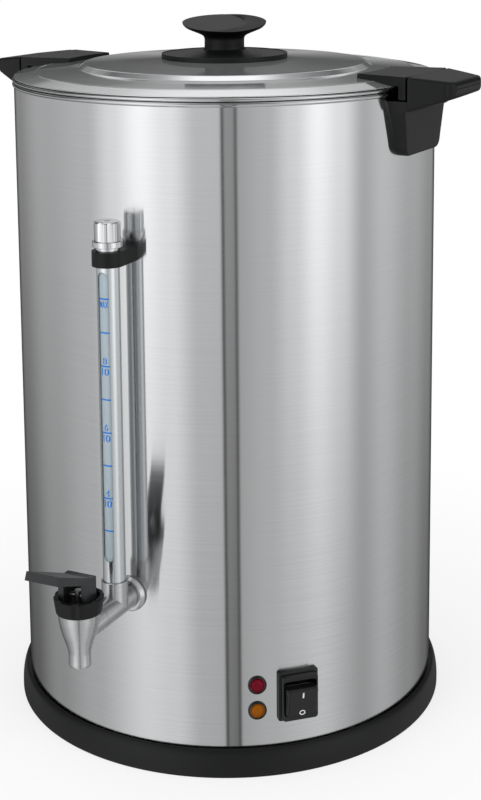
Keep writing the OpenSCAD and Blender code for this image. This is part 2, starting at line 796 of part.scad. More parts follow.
module tap_bonnet()
    color(black) translate([0, -tap_o, 0]) difference() {
        rotate_extrude() polygon(concat(
            [[0, bonnet_z], [bonnet_r - 1.6, bonnet_z]],
            arc([bonnet_r - 1.2, bonnet_top_z - 1.2], 1.2, 0, 90, 4),
            [[0, bonnet_top_z]]
        ));
        translate([0, 0, bonnet_z - 1]) cylinder(h = cavity_z - bonnet_z + 1, r = neck_r + run_gap);
        translate([0, 0, recess_z]) cylinder(h = bonnet_h, r = bonnet_r - bonnet_wall);
        translate([0, 0, bonnet_z]) cylinder(h = bonnet_h, r = stem_r + run_gap);
        for (i = [0:bonnet_grooves - 1])
            rotate([0, 0, 360 * (i + 0.5) / bonnet_grooves])
                translate([bonnet_r + groove_off, 0, bonnet_z - cut_over])
                    cylinder(h = bonnet_h + 2 * cut_over, r = groove_cut_r, $fn = 32);
    }

module tap_stem()
    color(satin) translate([0, -tap_o, 0]) difference() {
        union() {
            translate([0, 0, seat_z + 1]) cylinder(h = pin_z + stem_over - seat_z - 1, r = stem_r);
            translate([0, 0, collar_z]) cylinder(h = collar_t, r = spring_r + spring_wire_r + 0.6);
        }
        lever_axis(pin_r + fix_gap / 2, 20);
    }

// Bar across the tap on the lever's axis
module lever_axis(r, w) translate([-w / 2, 0, pin_z]) rotate([0, 90, 0]) cylinder(h = w, r = r);

module seat_cup()
    color(silicone) translate([0, -tap_o, 0]) difference() {
        translate([0, 0, seat_z + fix_gap]) cylinder(h = cup_h, r1 = chamber_r - 1.2, r2 = chamber_r - 0.6);
        translate([0, 0, seat_z + 1 - fix_gap]) cylinder(h = cup_h, r = stem_r + run_gap);
    }

function coil_points(r, wire, z0, h, steps, turns, sides) = [
    for (i = [0:steps * turns], j = [0:sides - 1])
        let (a = 360 * i / steps, b = 360 * j / sides, q = r + wire * cos(b))
        [q * cos(a), q * sin(a), z0 + h * i / (steps * turns) + wire * sin(b)]
];

function coil_faces(rings, sides) = concat(
    [[for (j = [0:sides - 1]) j]],
    [for (i = [0:rings - 2], j = [0:sides - 1]) let (k = (j + 1) % sides)
        [i * sides + j, (i + 1) * sides + j, (i + 1) * sides + k]],
    [for (i = [0:rings - 2], j = [0:sides - 1]) let (k = (j + 1) % sides)
        [i * sides + j, (i + 1) * sides + k, i * sides + k]],
    [[for (j = [sides - 1:-1:0]) (rings - 1) * sides + j]]
);

module tap_spring()
    color(zinc) translate([0, -tap_o, 0])
        polyhedron(
            points = coil_points(spring_r, spring_wire_r, spring_z0, spring_z1 - spring_z0,
                coil_steps, spring_turns, coil_sides),
            faces = coil_faces(coil_steps * spring_turns + 1, coil_sides)
        );

module lever_pin()
    color(zinc) translate([0, -tap_o, 0]) lever_axis(pin_r, 2 * yoke_hw - 1);

module tap_lever()
    color(black) translate([0, -tap_o, 0]) difference() {
        union() {
            for (x = [-1, 1])
                translate([x * (yoke_hw - yoke_leg_t / 2), 0, pin_z]) side(yoke_leg_t) {
                    circle(r = lever_foot_r, $fn = 64);
                    translate([-lever_foot_r, 0]) square([lever_foot_r + lever_toe, yoke_top_h]);
                    translate([0, -lever_foot_r]) square([lever_toe, lever_foot_r]);
                }
            intersection() {
                side(2 * max(yoke_hw, paddle_hw)) lever_outline();
                translate([0, 0, pin_z]) linear_extrude(height = 2 * lever_len) polygon([
                    [-yoke_hw, stub_l], [yoke_hw, stub_l], [yoke_hw, -lever_toe],
                    [paddle_hw, -lever_len - cut_over], [-paddle_hw, -lever_len - cut_over],
                    [-yoke_hw, -lever_toe]
                ]);
            }
        }
        lever_axis(pin_r + run_gap, 4 * yoke_hw);
    }

// Lever seen from the side: a level bridge over the legs, then the rising paddle
module lever_outline() {
    lean = lever_t * sin(lever_rise);
    fall = lever_t * cos(lever_rise);
    end = [lever_len - lean, yoke_top_z + (lever_len - lean) * tan(lever_rise)];
    polygon([
        [-lever_foot_r, yoke_top_z], [0, yoke_top_z], end, end + [lean, -fall],
        [lever_toe, yoke_top_z - fall + lever_toe * tan(lever_rise)], [lever_foot_r, yoke_top_z - fall],
        [-lever_foot_r, yoke_top_z - fall]
    ]);
}

// Sight gauge

module gauge_seal()
    color(silicone) translate([0, -gauge_o, 0])
        ring(glass_r, glass_r - glass_wall, glass_z - glass_seal_t, glass_z);

module gauge_glass()
    color([0.72, 0.82, 0.86, 0.6]) translate([0, -gauge_o, 0])
        ring(glass_r, glass_r - glass_wall, glass_z, glass_top_z);

module gauge_shield()
    color(satin) translate([0, -gauge_o, 0]) difference() {
        ring(shield_r, shield_r - shield_wall, shield_z + fix_gap, shield_top_z);
        block(window_w, 0, 2 * shield_r, window_z0 + window_w / 2, window_z1 - window_w / 2);
        for (z = [window_z0 + window_w / 2, window_z1 - window_w / 2])
            bar(window_w / 2, 0, 2 * shield_r, z);
    }

module gauge_clip()
    color(black) difference() {
        union() {
            translate([0, -gauge_o, clip_z]) cylinder(h = clip_h, r = clip_out_r);
            block(2 * clip_out_r, body_r - 2, gauge_o, clip_z, clip_z + clip_h);
        }
        translate([0, -gauge_o, clip_z - 1]) cylinder(h = clip_h + 2, r = clip_in_r);
        translate([0, 0, clip_z - 1]) cylinder(h = clip_h + 2, r = body_r + fix_gap, $fn = 180);
        bar(screw_r, root_in_r, body_r + clip_screw_l + 0.5, clip_mid_z);
    }

module clip_screw() color(zinc) inside_screw(clip_mid_z, clip_screw_l);

// Screw from inside the jacket, reaching outwards past it
module inside_screw(z, reach) {
    bar(screw_head_r, body_r - sheet - fix_gap - screw_head_h - 0.1, body_r - sheet - fix_gap - 0.1, z);
    bar(screw_r - run_gap, body_r - sheet - screw_head_h, body_r + reach, z);
}

module gauge_cap()
    color([0.78, 0.79, 0.8]) translate([0, -gauge_o, cap_z]) difference() {
        rotate_extrude() polygon(concat(
            [[0, 0], [cap_collar_r, 0], [cap_collar_r, cap_collar_h - 0.6],
             [cap_collar_r - 0.6, cap_collar_h], [cap_r, cap_collar_h]],
            arc([cap_r - 1.2, cap_h - 1.2], 1.2, 0, 90, 4),
            [[0, cap_h]]
        ));
        translate([0, 0, -1]) cylinder(h = glass_top_z - cap_z + 1 + rest_gap, r = glass_r + rest_gap);
        cylinder(h = cap_h + cut_over, r = vent_r);
        for (i = [0:cap_flutes - 1])
            rotate([0, 0, 360 * i / cap_flutes])
                translate([cap_r + flute_r - flute_depth, 0, cap_collar_h + 1])
                    cylinder(h = cap_h, r = flute_r);
    }

// Handles

module handle(turn)
    color(black) at(turn) difference() {
        union() {
            intersection() {
                side(3 * handle_root_hw) grip_outline();
                translate([0, 0, leg_foot_z]) linear_extrude(height = leg_len) grip_plan();
            }
            intersection() {
                side(3 * handle_root_hw) polygon([
                    [root_in_r, leg_foot_z - cut_over], [body_r + leg_foot_t, leg_foot_z - cut_over],
                    [body_r + leg_top_t, leg_flare_z], [body_r + leg_top_t, shelf_z], [root_in_r, shelf_z]
                ]);
                front(root_in_r, body_r + leg_top_t + cut_over) leg_outline();
            }
        }
        translate([0, 0, leg_foot_z - 5]) cylinder(h = leg_len + 10, r = body_r + fix_gap, $fn = 180);
        translate([0, 0, shelf_z]) cylinder(h = leg_len, r = groove_r, $fn = 180);
        for (z = handle_screw_heights) bar(screw_r, root_in_r, body_r + leg_foot_t - screw_end, z);
    }

// Handle seen from the side: flat top, underside rising to a blunt tip
module grip_outline()
    polygon(concat(
        [[root_in_r, shelf_z], [root_in_r, handle_top_z - handle_root_t],
         [groove_r, handle_top_z - handle_root_t],
         [handle_tip_r - 1.25 * tip_round, handle_tip_z - handle_tip_t]],
        arc([handle_tip_r - tip_round, handle_tip_z - handle_tip_t + 1.25 * tip_round], tip_round, -60, 0, 3),
        arc([handle_tip_r - tip_round, handle_tip_z - tip_round], tip_round, 0, 85, 4),
        [[groove_r, handle_top_z], [body_r, handle_top_z], [body_r, shelf_z]]
    ));

// Handle seen from above: sides drawing in to round corners at the tip
module grip_plan() {
    taper = atan2(handle_root_hw - handle_tip_hw, handle_tip_r - groove_r);
    inset = handle_corner_r * (1 - sin(taper)) / cos(taper);
    corner = [handle_tip_hw - inset, -handle_tip_r + handle_corner_r];
    right = arc(corner, handle_corner_r, -taper, -90, 6);
    polygon(concat(
        [[-handle_root_hw, -root_in_r], [handle_root_hw, -root_in_r], [handle_root_hw, -groove_r]],
        right,
        [for (i = [len(right) - 1:-1:0]) [-right[i][0], right[i][1]]],
        [[-handle_root_hw, -groove_r]]
    ));
}

// Leg seen from outside: flared under the rim, tapering to round corners
module leg_outline() {
    half = concat(
        [[handle_root_hw, shelf_z], [leg_hw, leg_flare_z]],
        arc([leg_foot_hw - leg_corner_r, leg_foot_z + leg_corner_r], leg_corner_r, 0, -90, 6)
    );
    polygon(concat(half, [for (i = [len(half) - 1:-1:0]) [-half[i][0], half[i][1]]]));
}

module handle_right() handle(handle_turn);

module handle_left() handle(handle_turn + 180);

module handle_screws()
    color(zinc) for (turn = [handle_turn, handle_turn + 180], z = handle_screw_heights)
        at(turn) inside_screw(z, leg_foot_t - screw_end - 1);

// Percolator

module perforation(first_r, last_r) {
    rings = 3;
    for (k = [0:rings - 1]) {
        r = first_r + (last_r - first_r) * k / (rings - 1);
        for (i = [0:perforation_count * (k + 1) - 1])
            rotate([0, 0, 360 * i / (perforation_count * (k + 1))])
                translate([r, 0, 0]) cylinder(h = 20, r = perforation_r, center = true, $fn = 16);
    }
}

module pump_tube()
    color(satin) difference() {
        union() {
            translate([0, 0, pump_z]) cylinder(h = pump_floor_t + bell_rim, r = pump_foot_r);
            translate([0, 0, valve_z + bell_rim])
                cylinder(h = pump_bell_h - bell_rim, r1 = pump_foot_r, r2 = tube_r);
            translate([0, 0, pump_z]) cylinder(h = tube_top_z - pump_z, r = tube_r);
            translate([0, 0, stop_z - stop_t]) cylinder(h = stop_t, r = tube_r + 2 * stop_t);
        }
        translate([0, 0, valve_z]) cylinder(h = valve_t + valve_lift + 1, r = valve_r + 1);
        translate([0, 0, pump_z - cut_over])
            cylinder(h = valve_z - pump_z + 2 * cut_over, r = valve_r - valve_seat_w);
        translate([0, 0, valve_z]) cylinder(h = tube_top_z, r = tube_r - tube_wall);
    }

module pump_valve()
    color(satin) translate([0, 0, valve_z]) cylinder(h = valve_t, r = valve_r);

module coffee_basket()
    color(satin) difference() {
        rotate_extrude($fn = 180) {
            translate([tube_r + basket_fit, basket_z])
                square([basket_r - tube_r - basket_fit, basket_floor_t]);
            translate([basket_r - basket_wall, basket_z]) square([basket_wall, basket_depth]);
            translate([basket_r - basket_wall, basket_top_z - basket_wall])
                square([basket_rim_w, basket_wall]);
        }
        translate([0, 0, basket_z]) perforation(tube_r + perforation_margin, basket_r - perforation_margin);
    }

module basket_spreader()
    color(satin) difference() {
        ring(basket_r + basket_rim_w - 2, tube_r + basket_fit, spreader_z, spreader_z + basket_wall);
        translate([0, 0, spreader_z]) perforation(tube_r + perforation_margin, basket_r - perforation_margin);
    }

// Lid

// Lid seal: hangs into the boiler's mouth under the flange
module lid_seal() {
    out_r = boiler_in_r - rest_gap;
    in_r = out_r - seal_t;
    drop = sheet + rest_gap;
    color(silicone) rotate_extrude($fn = 180) polygon([
        [in_r, boiler_rim_z - seal_depth], [out_r, boiler_rim_z - seal_depth],
        [out_r, lid_z(out_r) - drop], [in_r, lid_z(in_r) - drop]
    ]);
}

module lid_shell()
    color(steel) difference() {
        rotate_extrude($fn = 180) polygon(concat(
            lid_bends,
            [[0, lid_top_z], [0, lid_top_z - sheet]],
            [for (i = [len(lid_bends) - 1:-1:0]) lid_bends[i] - [0, sheet]]
        ));
        translate([0, 0, lid_top_z - 5]) cylinder(h = 10, r = knob_screw_r + fix_gap);
        lug_screw_places() cylinder(h = 40, r = screw_r + fix_gap, center = true);
    }

module lid_knob()
    color(black) difference() {
        rotate_extrude() polygon(concat(
            [[0, knob_z], [knob_disc_r, knob_z], [knob_disc_r, knob_z + knob_disc_t - 0.5],
             [knob_disc_r - 1, knob_z + knob_disc_t], [knob_stem_r + 6, knob_neck_z - 1],
             [knob_stem_r, knob_neck_z], [knob_stem_r, knob_wide_z - 12],
             [knob_stem_r + 0.5, knob_wide_z - 10], [knob_stem_r + 1.8, knob_wide_z - 8],
             [knob_stem_r + 4.2, knob_wide_z - 6.3], [knob_r - 5.5, knob_wide_z - 3.7],
             [knob_r - 2, knob_wide_z - 1.6]],
            [for (i = [0:8]) [knob_r * cos(90 * i / 8), knob_wide_z + knob_crown * sin(90 * i / 8)]]
        ));
        translate([0, 0, knob_z - 1]) cylinder(h = knob_wide_h - 4, r = knob_screw_r + run_gap);
        rotate([0, 0, facet_turn]) translate([0, 0, knob_wide_z + 0.25]) rotate([facet_tilt, 0, 0])
            translate([-2 * knob_r, -2 * knob_r, 0]) cube([4 * knob_r, 4 * knob_r, 2 * knob_r]);
    }

module knob_screw()
    color(zinc) {
        translate([0, 0, knob_z - sheet - 3]) cylinder(h = 3, r = 2 * knob_screw_r);
        translate([0, 0, knob_z - sheet - 1]) cylinder(h = sheet + knob_wide_h - 6, r = knob_screw_r);
    }

// Lug on the lid: a plate flush with the handle, hooked down outside the rim
module lug(turn)
    color(black) at(turn) difference() {
        rotate([0, 0, -90 - lug_half]) rotate_extrude(angle = 2 * lug_half, $fn = 180) polygon(concat(
            [[lug_in_r, handle_top_z], [lug_in_r, lid_z(lug_in_r) + fix_gap]],
            [[lid_r - flange_w, flange_z + fix_gap], [lid_r, lid_edge_z + fix_gap],
             [hook_in_r, lid_edge_z + fix_gap]],
            [[hook_in_r, hook_z], [lug_out_r, hook_z], [lug_out_r, handle_top_z]]
        ));
        lug_screw_holes();
    }

module lug_screw_holes()
    for (side = [-1, 1])
        at(side * lug_screw_turn) translate([0, -lug_screw_reach, lid_z(lug_screw_reach) - 6])
            cylinder(h = 8, r = screw_r);

module lug_screw_places()
    for (turn = [handle_turn, handle_turn + 180], side = [-1, 1])
        at(turn + side * lug_screw_turn) translate([0, -lug_screw_reach, lid_z(lug_screw_reach)]) children();

module lug_right() lug(handle_turn);

module lug_left() lug(handle_turn + 180);

module lug_screws()
    color(zinc) lug_screw_places() {
        head_z = -sheet - fix_gap - screw_head_h - 0.3;
        translate([0, 0, head_z]) cylinder(h = screw_head_h, r = screw_head_r);
        translate([0, 0, head_z]) cylinder(h = 1.8 - head_z, r = screw_r - run_gap);
    }

outer_jacket();
boiler();
base_ring();
bottom_plate();
rubber_feet();
bottom_screws();
brew_heater();
keep_warm_heater();
thermostat();
thermal_cutout();
terminal_block();
cord_gland();
gland_nut();
switch_bezel();
switch_body();
switch_pivot();
switch_rocker();
lamp_bezels();
red_lens();
amber_lens();
lamp_holders();
tap_shank();
escutcheon();
shank_gasket();
shank_nut();
tap_body();
tap_bonnet();
tap_stem();
seat_cup();
tap_spring();
lever_pin();
tap_lever();
gauge_seal();
gauge_glass();
gauge_shield();
gauge_clip();
clip_screw();
gauge_cap();
handle_right();
handle_left();
handle_screws();
pump_tube();
pump_valve();
coffee_basket();
basket_spreader();
lid_seal();
lid_shell();
lid_knob();
knob_screw();
lug_right();
lug_left();
lug_screws();
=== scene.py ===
import bmesh
import bpy
import numpy as np
from mathutils import Matrix


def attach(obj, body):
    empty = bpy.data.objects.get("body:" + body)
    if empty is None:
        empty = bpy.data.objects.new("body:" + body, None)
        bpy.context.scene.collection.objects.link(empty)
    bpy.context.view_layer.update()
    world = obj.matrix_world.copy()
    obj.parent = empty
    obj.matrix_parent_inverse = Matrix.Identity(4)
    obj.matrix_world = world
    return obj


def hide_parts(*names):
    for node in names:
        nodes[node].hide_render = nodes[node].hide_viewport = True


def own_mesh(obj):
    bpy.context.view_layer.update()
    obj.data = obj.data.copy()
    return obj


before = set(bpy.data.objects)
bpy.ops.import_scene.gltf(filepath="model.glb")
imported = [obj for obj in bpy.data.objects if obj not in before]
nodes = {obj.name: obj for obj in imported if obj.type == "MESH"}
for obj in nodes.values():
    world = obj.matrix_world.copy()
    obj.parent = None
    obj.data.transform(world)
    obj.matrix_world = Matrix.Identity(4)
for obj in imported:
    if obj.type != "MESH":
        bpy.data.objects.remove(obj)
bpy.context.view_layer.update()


# Base ring: the flared black foot that the jacket's lower edge drops into.
# It is moulded in ABS with a fine spark-eroded texture, and the bottom plate is screwed up into it.

def linear(colour):
    """sRGB hex to linear RGBA: a straight line for the darkest values, a power of 2.4 above them."""
    s = np.array([int(colour[i:i + 2], 16) for i in (1, 3, 5)]) / 255
    return np.where(s < 0.04045, s / 12.92, ((s + 0.055) / 1.055) ** 2.4).tolist() + [1.0]


def add(tree, kind, inputs=(), stops=(), **settings):
    """One node: its settings by name, for each input a value or the socket that feeds it, and for a ramp
    its stops as places and grey levels, which flow into each other."""
    node = tree.nodes.new("ShaderNode" + kind)
    if stops:
        node.color_ramp.interpolation = "EASE"
        for place, _ in stops[2:]:
            node.color_ramp.elements.new(place)
        for stop, (place, level) in zip(node.color_ramp.elements, stops):
            stop.position, stop.color = place, (level, level, level, 1)
    for name, value in settings.items():
        setattr(node, name, value)
    for name, value in dict(inputs).items():
        if isinstance(value, bpy.types.NodeSocket):
            tree.links.new(value, node.inputs[name])
        else:
            node.inputs[name].default_value = value
    return node


def blank(name):
    """New material with nodes: itself and its node tree."""
    material = bpy.data.materials.new(name)
    material.use_nodes = True
    return material, material.node_tree


def shaded(tree, grey, dark, light, rough, normal, **sockets):
    """Feeds a material's shader: a grey noise, which hardly leaves 0.3 to 0.7, runs the colour from dark to
    light and the roughness between two values, and normal brings the relief. Other sockets are set by
    name."""
    shader = tree.nodes["Principled BSDF"]
    tone = add(tree, "MixRGB", {"Fac": grey, "Color1": linear(dark), "Color2": linear(light)})
    gloss = add(tree, "MapRange", {"Value": grey, "From Min": 0.3, "From Max": 0.7,
                                   "To Min": rough[0], "To Max": rough[1]})
    tree.links.new(tone.outputs["Color"], shader.inputs["Base Color"])
    tree.links.new(gloss.outputs["Result"], shader.inputs["Roughness"])
    tree.links.new(normal, shader.inputs["Normal"])
    for socket, value in sockets.items():
        shader.inputs[socket.replace("_", " ")].default_value = value
    return shader


def grained(name, dark, light, grain, rough, relief, **sockets):
    """Material with a noise of one grain size in mm, which runs the colour from dark to light, the
    roughness between two values and a bump of a relief in mm. Other shader sockets are set by name."""
    material, tree = blank(name)
    place = add(tree, "TexCoord")
    noise = add(tree, "TexNoise", {"Vector": place.outputs["Object"], "Scale": 1000 / grain, "Detail": 3.0})
    bump = add(tree, "Bump", {"Height": noise.outputs["Fac"], "Distance": relief / 1000})
    shaded(tree, noise.outputs["Fac"], dark, light, rough, bump.outputs["Normal"], **sockets)
    return material


def rounded(corners, radii, steps=6, closed=False):
    """Line through corners, each one replaced by an arc of its radius that touches both of its sides,
    at radius / tan(half the corner's angle) from it. Points on an arc are spaced by equal turns."""
    c = np.asarray(corners, float)
    r = np.broadcast_to(np.asarray(radii, float), len(c)).copy()
    if not closed:
        r[[0, -1]] = 0
    back, on = np.roll(c, 1, 0) - c, np.roll(c, -1, 0) - c
    back /= np.linalg.norm(back, axis=1, keepdims=True) + 1e-12
    on /= np.linalg.norm(on, axis=1, keepdims=True) + 1e-12
    half = np.arccos(np.clip((back * on).sum(1), -0.999999, 0.999999)) / 2
    middle = back + on
    middle /= np.linalg.norm(middle, axis=1, keepdims=True) + 1e-12
    centre = c + middle * (r / np.sin(half))[:, None]
    start = c + back * (r / np.tan(half))[:, None] - centre
    end = c + on * (r / np.tan(half))[:, None] - centre
    sweep = (np.pi - 2 * half)[:, None, None]
    t = np.linspace(0, 1, steps + 1)[None, :, None]
    arc = (np.sin((1 - t) * sweep) * start[:, None] + np.sin(t * sweep) * end[:, None]) / np.sin(sweep)
    line = (centre[:, None] + arc).reshape(-1, c.shape[1])
    line = line[np.r_[True, np.linalg.norm(np.diff(line, axis=0), axis=1) > 1e-6]]
    return np.concatenate([line, line[:1]]) if closed else line


def turned(profile, origin=(0, 0, 0), axis=(0, 0, 1), first=(0, 1, 0), count=180):
    """Surface of revolution: a profile point (r, h) goes round the axis at radius r and height h."""
    axis, first = np.asarray(axis, float), np.asarray(first, float)
    angle = np.linspace(0, 2 * np.pi, count, endpoint=False)[:, None]
    ring = np.cos(angle) * first + np.sin(angle) * np.cross(axis, first)
    profile = np.asarray(profile, float)
    return np.asarray(origin) + profile[:, :1, None] * ring + profile[:, 1:, None] * axis


def placed(name, data):
    """New object in the scene, at the origin, for a mesh, lettering, a lamp or a camera."""
    made = bpy.data.objects.new(name, data)
    bpy.context.scene.collection.objects.link(made)
    return made


# Edges where a surface turns by more than this, in radians, stay sharp.
crease = 0.6


def piece(name, material, *shells, around=True, ends=False, sharp=crease):
    """Object from grids of points in mm, whose rows run along the piece and whose columns run across it.
    Four neighbours make a face, around joins the last column to the first, and ends puts a flat face on
    the first and last rows. Doubles are merged, so that seams and poles close, and faces turned outwards.
    The UV map gives the distance across and along in metres."""
    points, faces, flat, marks, base = [], [], [], [], 0
    for grid in shells:
        rows, cols = grid.shape[:2]
        i, j = np.meshgrid(np.arange(rows - 1), np.arange(cols if around else cols - 1), indexing="ij")
        i = i.reshape(-1, 1) + np.array([0, 0, 1, 1])
        j = j.reshape(-1, 1) + np.array([0, 1, 1, 0])
        faces += (base + i * cols + j % cols).tolist()
        across = np.linalg.norm(np.diff(np.concatenate([grid, grid[:, :1]], 1), axis=1), axis=2).max(0)
        along = np.linalg.norm(np.diff(grid, axis=0), axis=2).max(1)
        marks.append(np.stack([np.r_[0, np.cumsum(across)][j], np.r_[0, np.cumsum(along)][i]], -1))
        if ends:
            flat += [np.arange(base, base + cols).tolist(),
                     np.arange(base + (rows - 1) * cols, base + rows * cols).tolist()]
        points.append(grid.reshape(-1, 3))
        base += rows * cols
    mesh = bpy.data.meshes.new(name)
    mesh.from_pydata(np.concatenate(points) / 1000, [], faces + flat)
    uv = np.zeros((len(mesh.loops), 2))
    uv[:4 * len(faces)] = np.concatenate(marks).reshape(-1, 2) / 1000
    mesh.uv_layers.new(name="UVMap").data.foreach_set("uv", uv.ravel())
    work = bmesh.new()
    work.from_mesh(mesh)
    bmesh.ops.remove_doubles(work, verts=work.verts, dist=1e-6)
    bmesh.ops.dissolve_degenerate(work, edges=work.edges, dist=1e-7)
    bmesh.ops.recalc_face_normals(work, faces=work.faces)
    work.to_mesh(mesh)
    work.free()
    mesh.shade_smooth()
    mesh.set_sharp_from_angle(angle=sharp)
    mesh.materials.append(material)
    made = placed(name, mesh)
    made.modifiers.new("Even shading", "WEIGHTED_NORMAL").keep_sharp = True
    return made


def fit(made, body, slot, *stands_for):
    """Seats a piece on the body it rides on, and hides the nodes that it stands for. The slot is not used."""
    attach(made, body)
    if stands_for:
        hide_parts(*stands_for)


# Moulded ABS, satin black: a spark-eroded tool leaves a grain of about 0.4 mm, drawn at 0.7 mm so that
# it shows, which breaks up the gloss and leaves broad grey highlights along the edges.
black_abs = grained("moulded_black_abs", "#0a0b0c", "#101112", 0.7, (0.40, 0.50), 0.008,
                    Specular_IOR_Level=0.28)

# Profile: the jacket's seat, the flare as a quarter of an ellipse, then the foot and its hollow inside.
flare = np.linspace(0, np.pi / 2, 14)
foot = np.concatenate([
    rounded([(142, 15.4), (142, 16.9), (151.1, 16.9), (151.1, 19), (151.6, 19)], [0, 0.3, 0.1, 0.2, 0], 3),
    np.stack([151.6 + 4.4 * np.sin(flare), 4 + 15 * np.cos(flare)], 1),
    rounded([(156, 4), (156, 0), (152, 0), (152, 11), (149.5, 15.4), (142, 15.4)], [0, 1, 1, 0, 0, 0], 4)])
base_ring = piece("base_ring_moulding", black_abs, turned(foot, count=240))
fit(base_ring, "urn", "black_plastic", "base_ring")


# Bottom plate, its screws and the feet: zinc-plated sheet that closes the base from below, and four
# pads of black rubber pressed into it, which stand on the table.

# Zinc plate: bluish grey, with the soft spangle of a passivated sheet.
zinc_plate = grained("zinc_plated_steel", "#8e9092", "#b2b3b0", 6.0, (0.32, 0.48), 0.004, Metallic=1.0)
# Moulded rubber: nearly black and dull, with a little bloom.
dull_rubber = grained("moulded_rubber", "#141414", "#232322", 1.5, (0.75, 0.9), 0.02)


def finished(node, material):
    """A CAD node whose shape is right stays, and takes a material of this scene."""
    nodes[node].data.materials.clear()
    nodes[node].data.materials.append(material)


for node in ("bottom_plate", "bottom_screws"):
    finished(node, zinc_plate)
finished("rubber_feet", dull_rubber)


# Outer jacket: 0.8 mm stainless sheet rolled to a cylinder, with its top edge curled to a bead.
# It stands in the base ring and is brushed round its circumference.

def brushed(name, dark, light, line, length, rough, relief, lean, waves=70, **sockets):
    """Metal brushed along u: a noise on the UV map, short across the lines and long along them, runs the
    colour, the roughness and the bump, and the gloss is stretched across the lines. The sheet itself
    leans to and fro by a small height over waves of a length in mm."""
    material, tree = blank(name)
    place = add(tree, "UVMap", uv_map="UVMap")
    lines = add(tree, "Mapping", {"Vector": place.outputs["UV"], "Scale": (1000 / length, 1000 / line, 1)})
    noise = add(tree, "TexNoise", {"Vector": lines.outputs["Vector"], "Scale": 1.0, "Detail": 4.0})
    wave = add(tree, "TexNoise", {"Vector": place.outputs["UV"], "Scale": 1000 / waves, "Detail": 1.0})
    swell = add(tree, "Bump", {"Height": wave.outputs["Fac"], "Distance": lean / 1000})
    bump = add(tree, "Bump", {"Height": noise.outputs["Fac"], "Distance": relief / 1000,
                              "Normal": swell.outputs["Normal"]})
    grain = add(tree, "Tangent", direction_type="UV_MAP", uv_map="UVMap")
    shader = shaded(tree, noise.outputs["Fac"], dark, light, rough, bump.outputs["Normal"],
                    Metallic=1.0, **sockets)
    tree.links.new(grain.outputs["Tangent"], shader.inputs["Tangent"])
    return material


# Brushed stainless steel: fine lines round the body draw every light out into a soft upright band.
# The lines are about 0.1 mm apart and are drawn at 0.8 mm so that they show.
brushed_steel = brushed("brushed_stainless_steel", "#c8c9ca", "#d4d5d6", 0.8, 80, (0.10, 0.13),
                        0.002, 0.04, Anisotropic=1.0, Anisotropic_Rotation=0.25)
radius, sheet, low_edge, top_edge, roll = 150, 0.8, 17.2, 452, 1.6
curl = np.radians(np.linspace(-76, 256, 30))
wall = np.concatenate([
    [(radius - sheet, low_edge), (radius, low_edge)],
    np.stack([radius - sheet / 2 + roll * np.cos(curl), top_edge + roll * np.sin(curl)], 1),
    [(radius - sheet, low_edge)]])
jacket = piece("jacket_sheet", brushed_steel, turned(wall, count=360))
fit(jacket, "urn", "brushed_steel", "outer_jacket")


# Boiler: the inner stainless vessel, drawn with a dished edge to its floor. Its flat rim lies over the
# jacket's bead and ends in a bead of its own, which is the bright line under the lid.

# Mill-finish stainless steel: pale and dull, as drawn, so that the inside stays light.
mill_steel = grained("mill_finish_stainless_steel", "#b9bab9", "#c7c8c7", 6.0, (0.32, 0.4), 0.004,
                     Metallic=0.75)
# Polished stainless steel: a mirror with a trace of polishing haze, so reflections stay readable.
polished_steel = grained("polished_stainless_steel", "#cfd1d2", "#dadbdc", 25.0, (0.10, 0.16), 0.003,
                         Metallic=1.0)
vessel = rounded([(0, 101), (143.2, 101), (143.2, 455.45), (149.2, 455.45), (149.2, 454.65), (144, 454.65),
                  (144, 100.2), (0, 100.2)], [0, 6, 1.2, 0.2, 0.2, 1, 6, 0], 8)
fit(piece("boiler_vessel", mill_steel, turned(vessel, count=360)), "urn", "polished_steel", "boiler")
rim_radius, rim_height, roll = 150, 455.05, 1.15
curl = np.radians(np.linspace(180, -180, 33))
bead = np.stack([rim_radius + roll * np.cos(curl), rim_height + roll * np.sin(curl)], 1)
fit(piece("boiler_bead", polished_steel, turned(bead, count=360)), "urn", "polished_steel")


# Heaters, thermostats and the terminal block: clamped under the boiler's floor, inside the base.
# The plates are cast aluminium, the cases phenolic and the block a pale nylon.

# Cast aluminium: dull and grey, with the pits of a sand-blasted die.
cast_plate = grained("cast_aluminium", "#9a9894", "#bdbab5", 1.2, (0.45, 0.6), 0.05, Metallic=1.0)
# Phenolic moulding: hard and smooth black, glossier than the handles. The switch and lamps have it too.
gloss_black = grained("gloss_black_moulding", "#0a0a0b", "#0f1011", 1.0, (0.26, 0.34), 0.003,
                      Specular_IOR_Level=0.4)
# Nylon moulding: off-white and slightly waxy.
pale_nylon = grained("pale_nylon", "#cfc8b8", "#dcd6c6", 4.0, (0.4, 0.5), 0.01)
for node in ("brew_heater", "keep_warm_heater", "thermal_cutout"):
    finished(node, cast_plate)
finished("thermostat", gloss_black)
finished("terminal_block", pale_nylon)


# Cord gland and nut: a nylon gland low on the back of the jacket, held by its nut from inside.
# The sharp edges of the turned solids get the small radius that a moulding has.

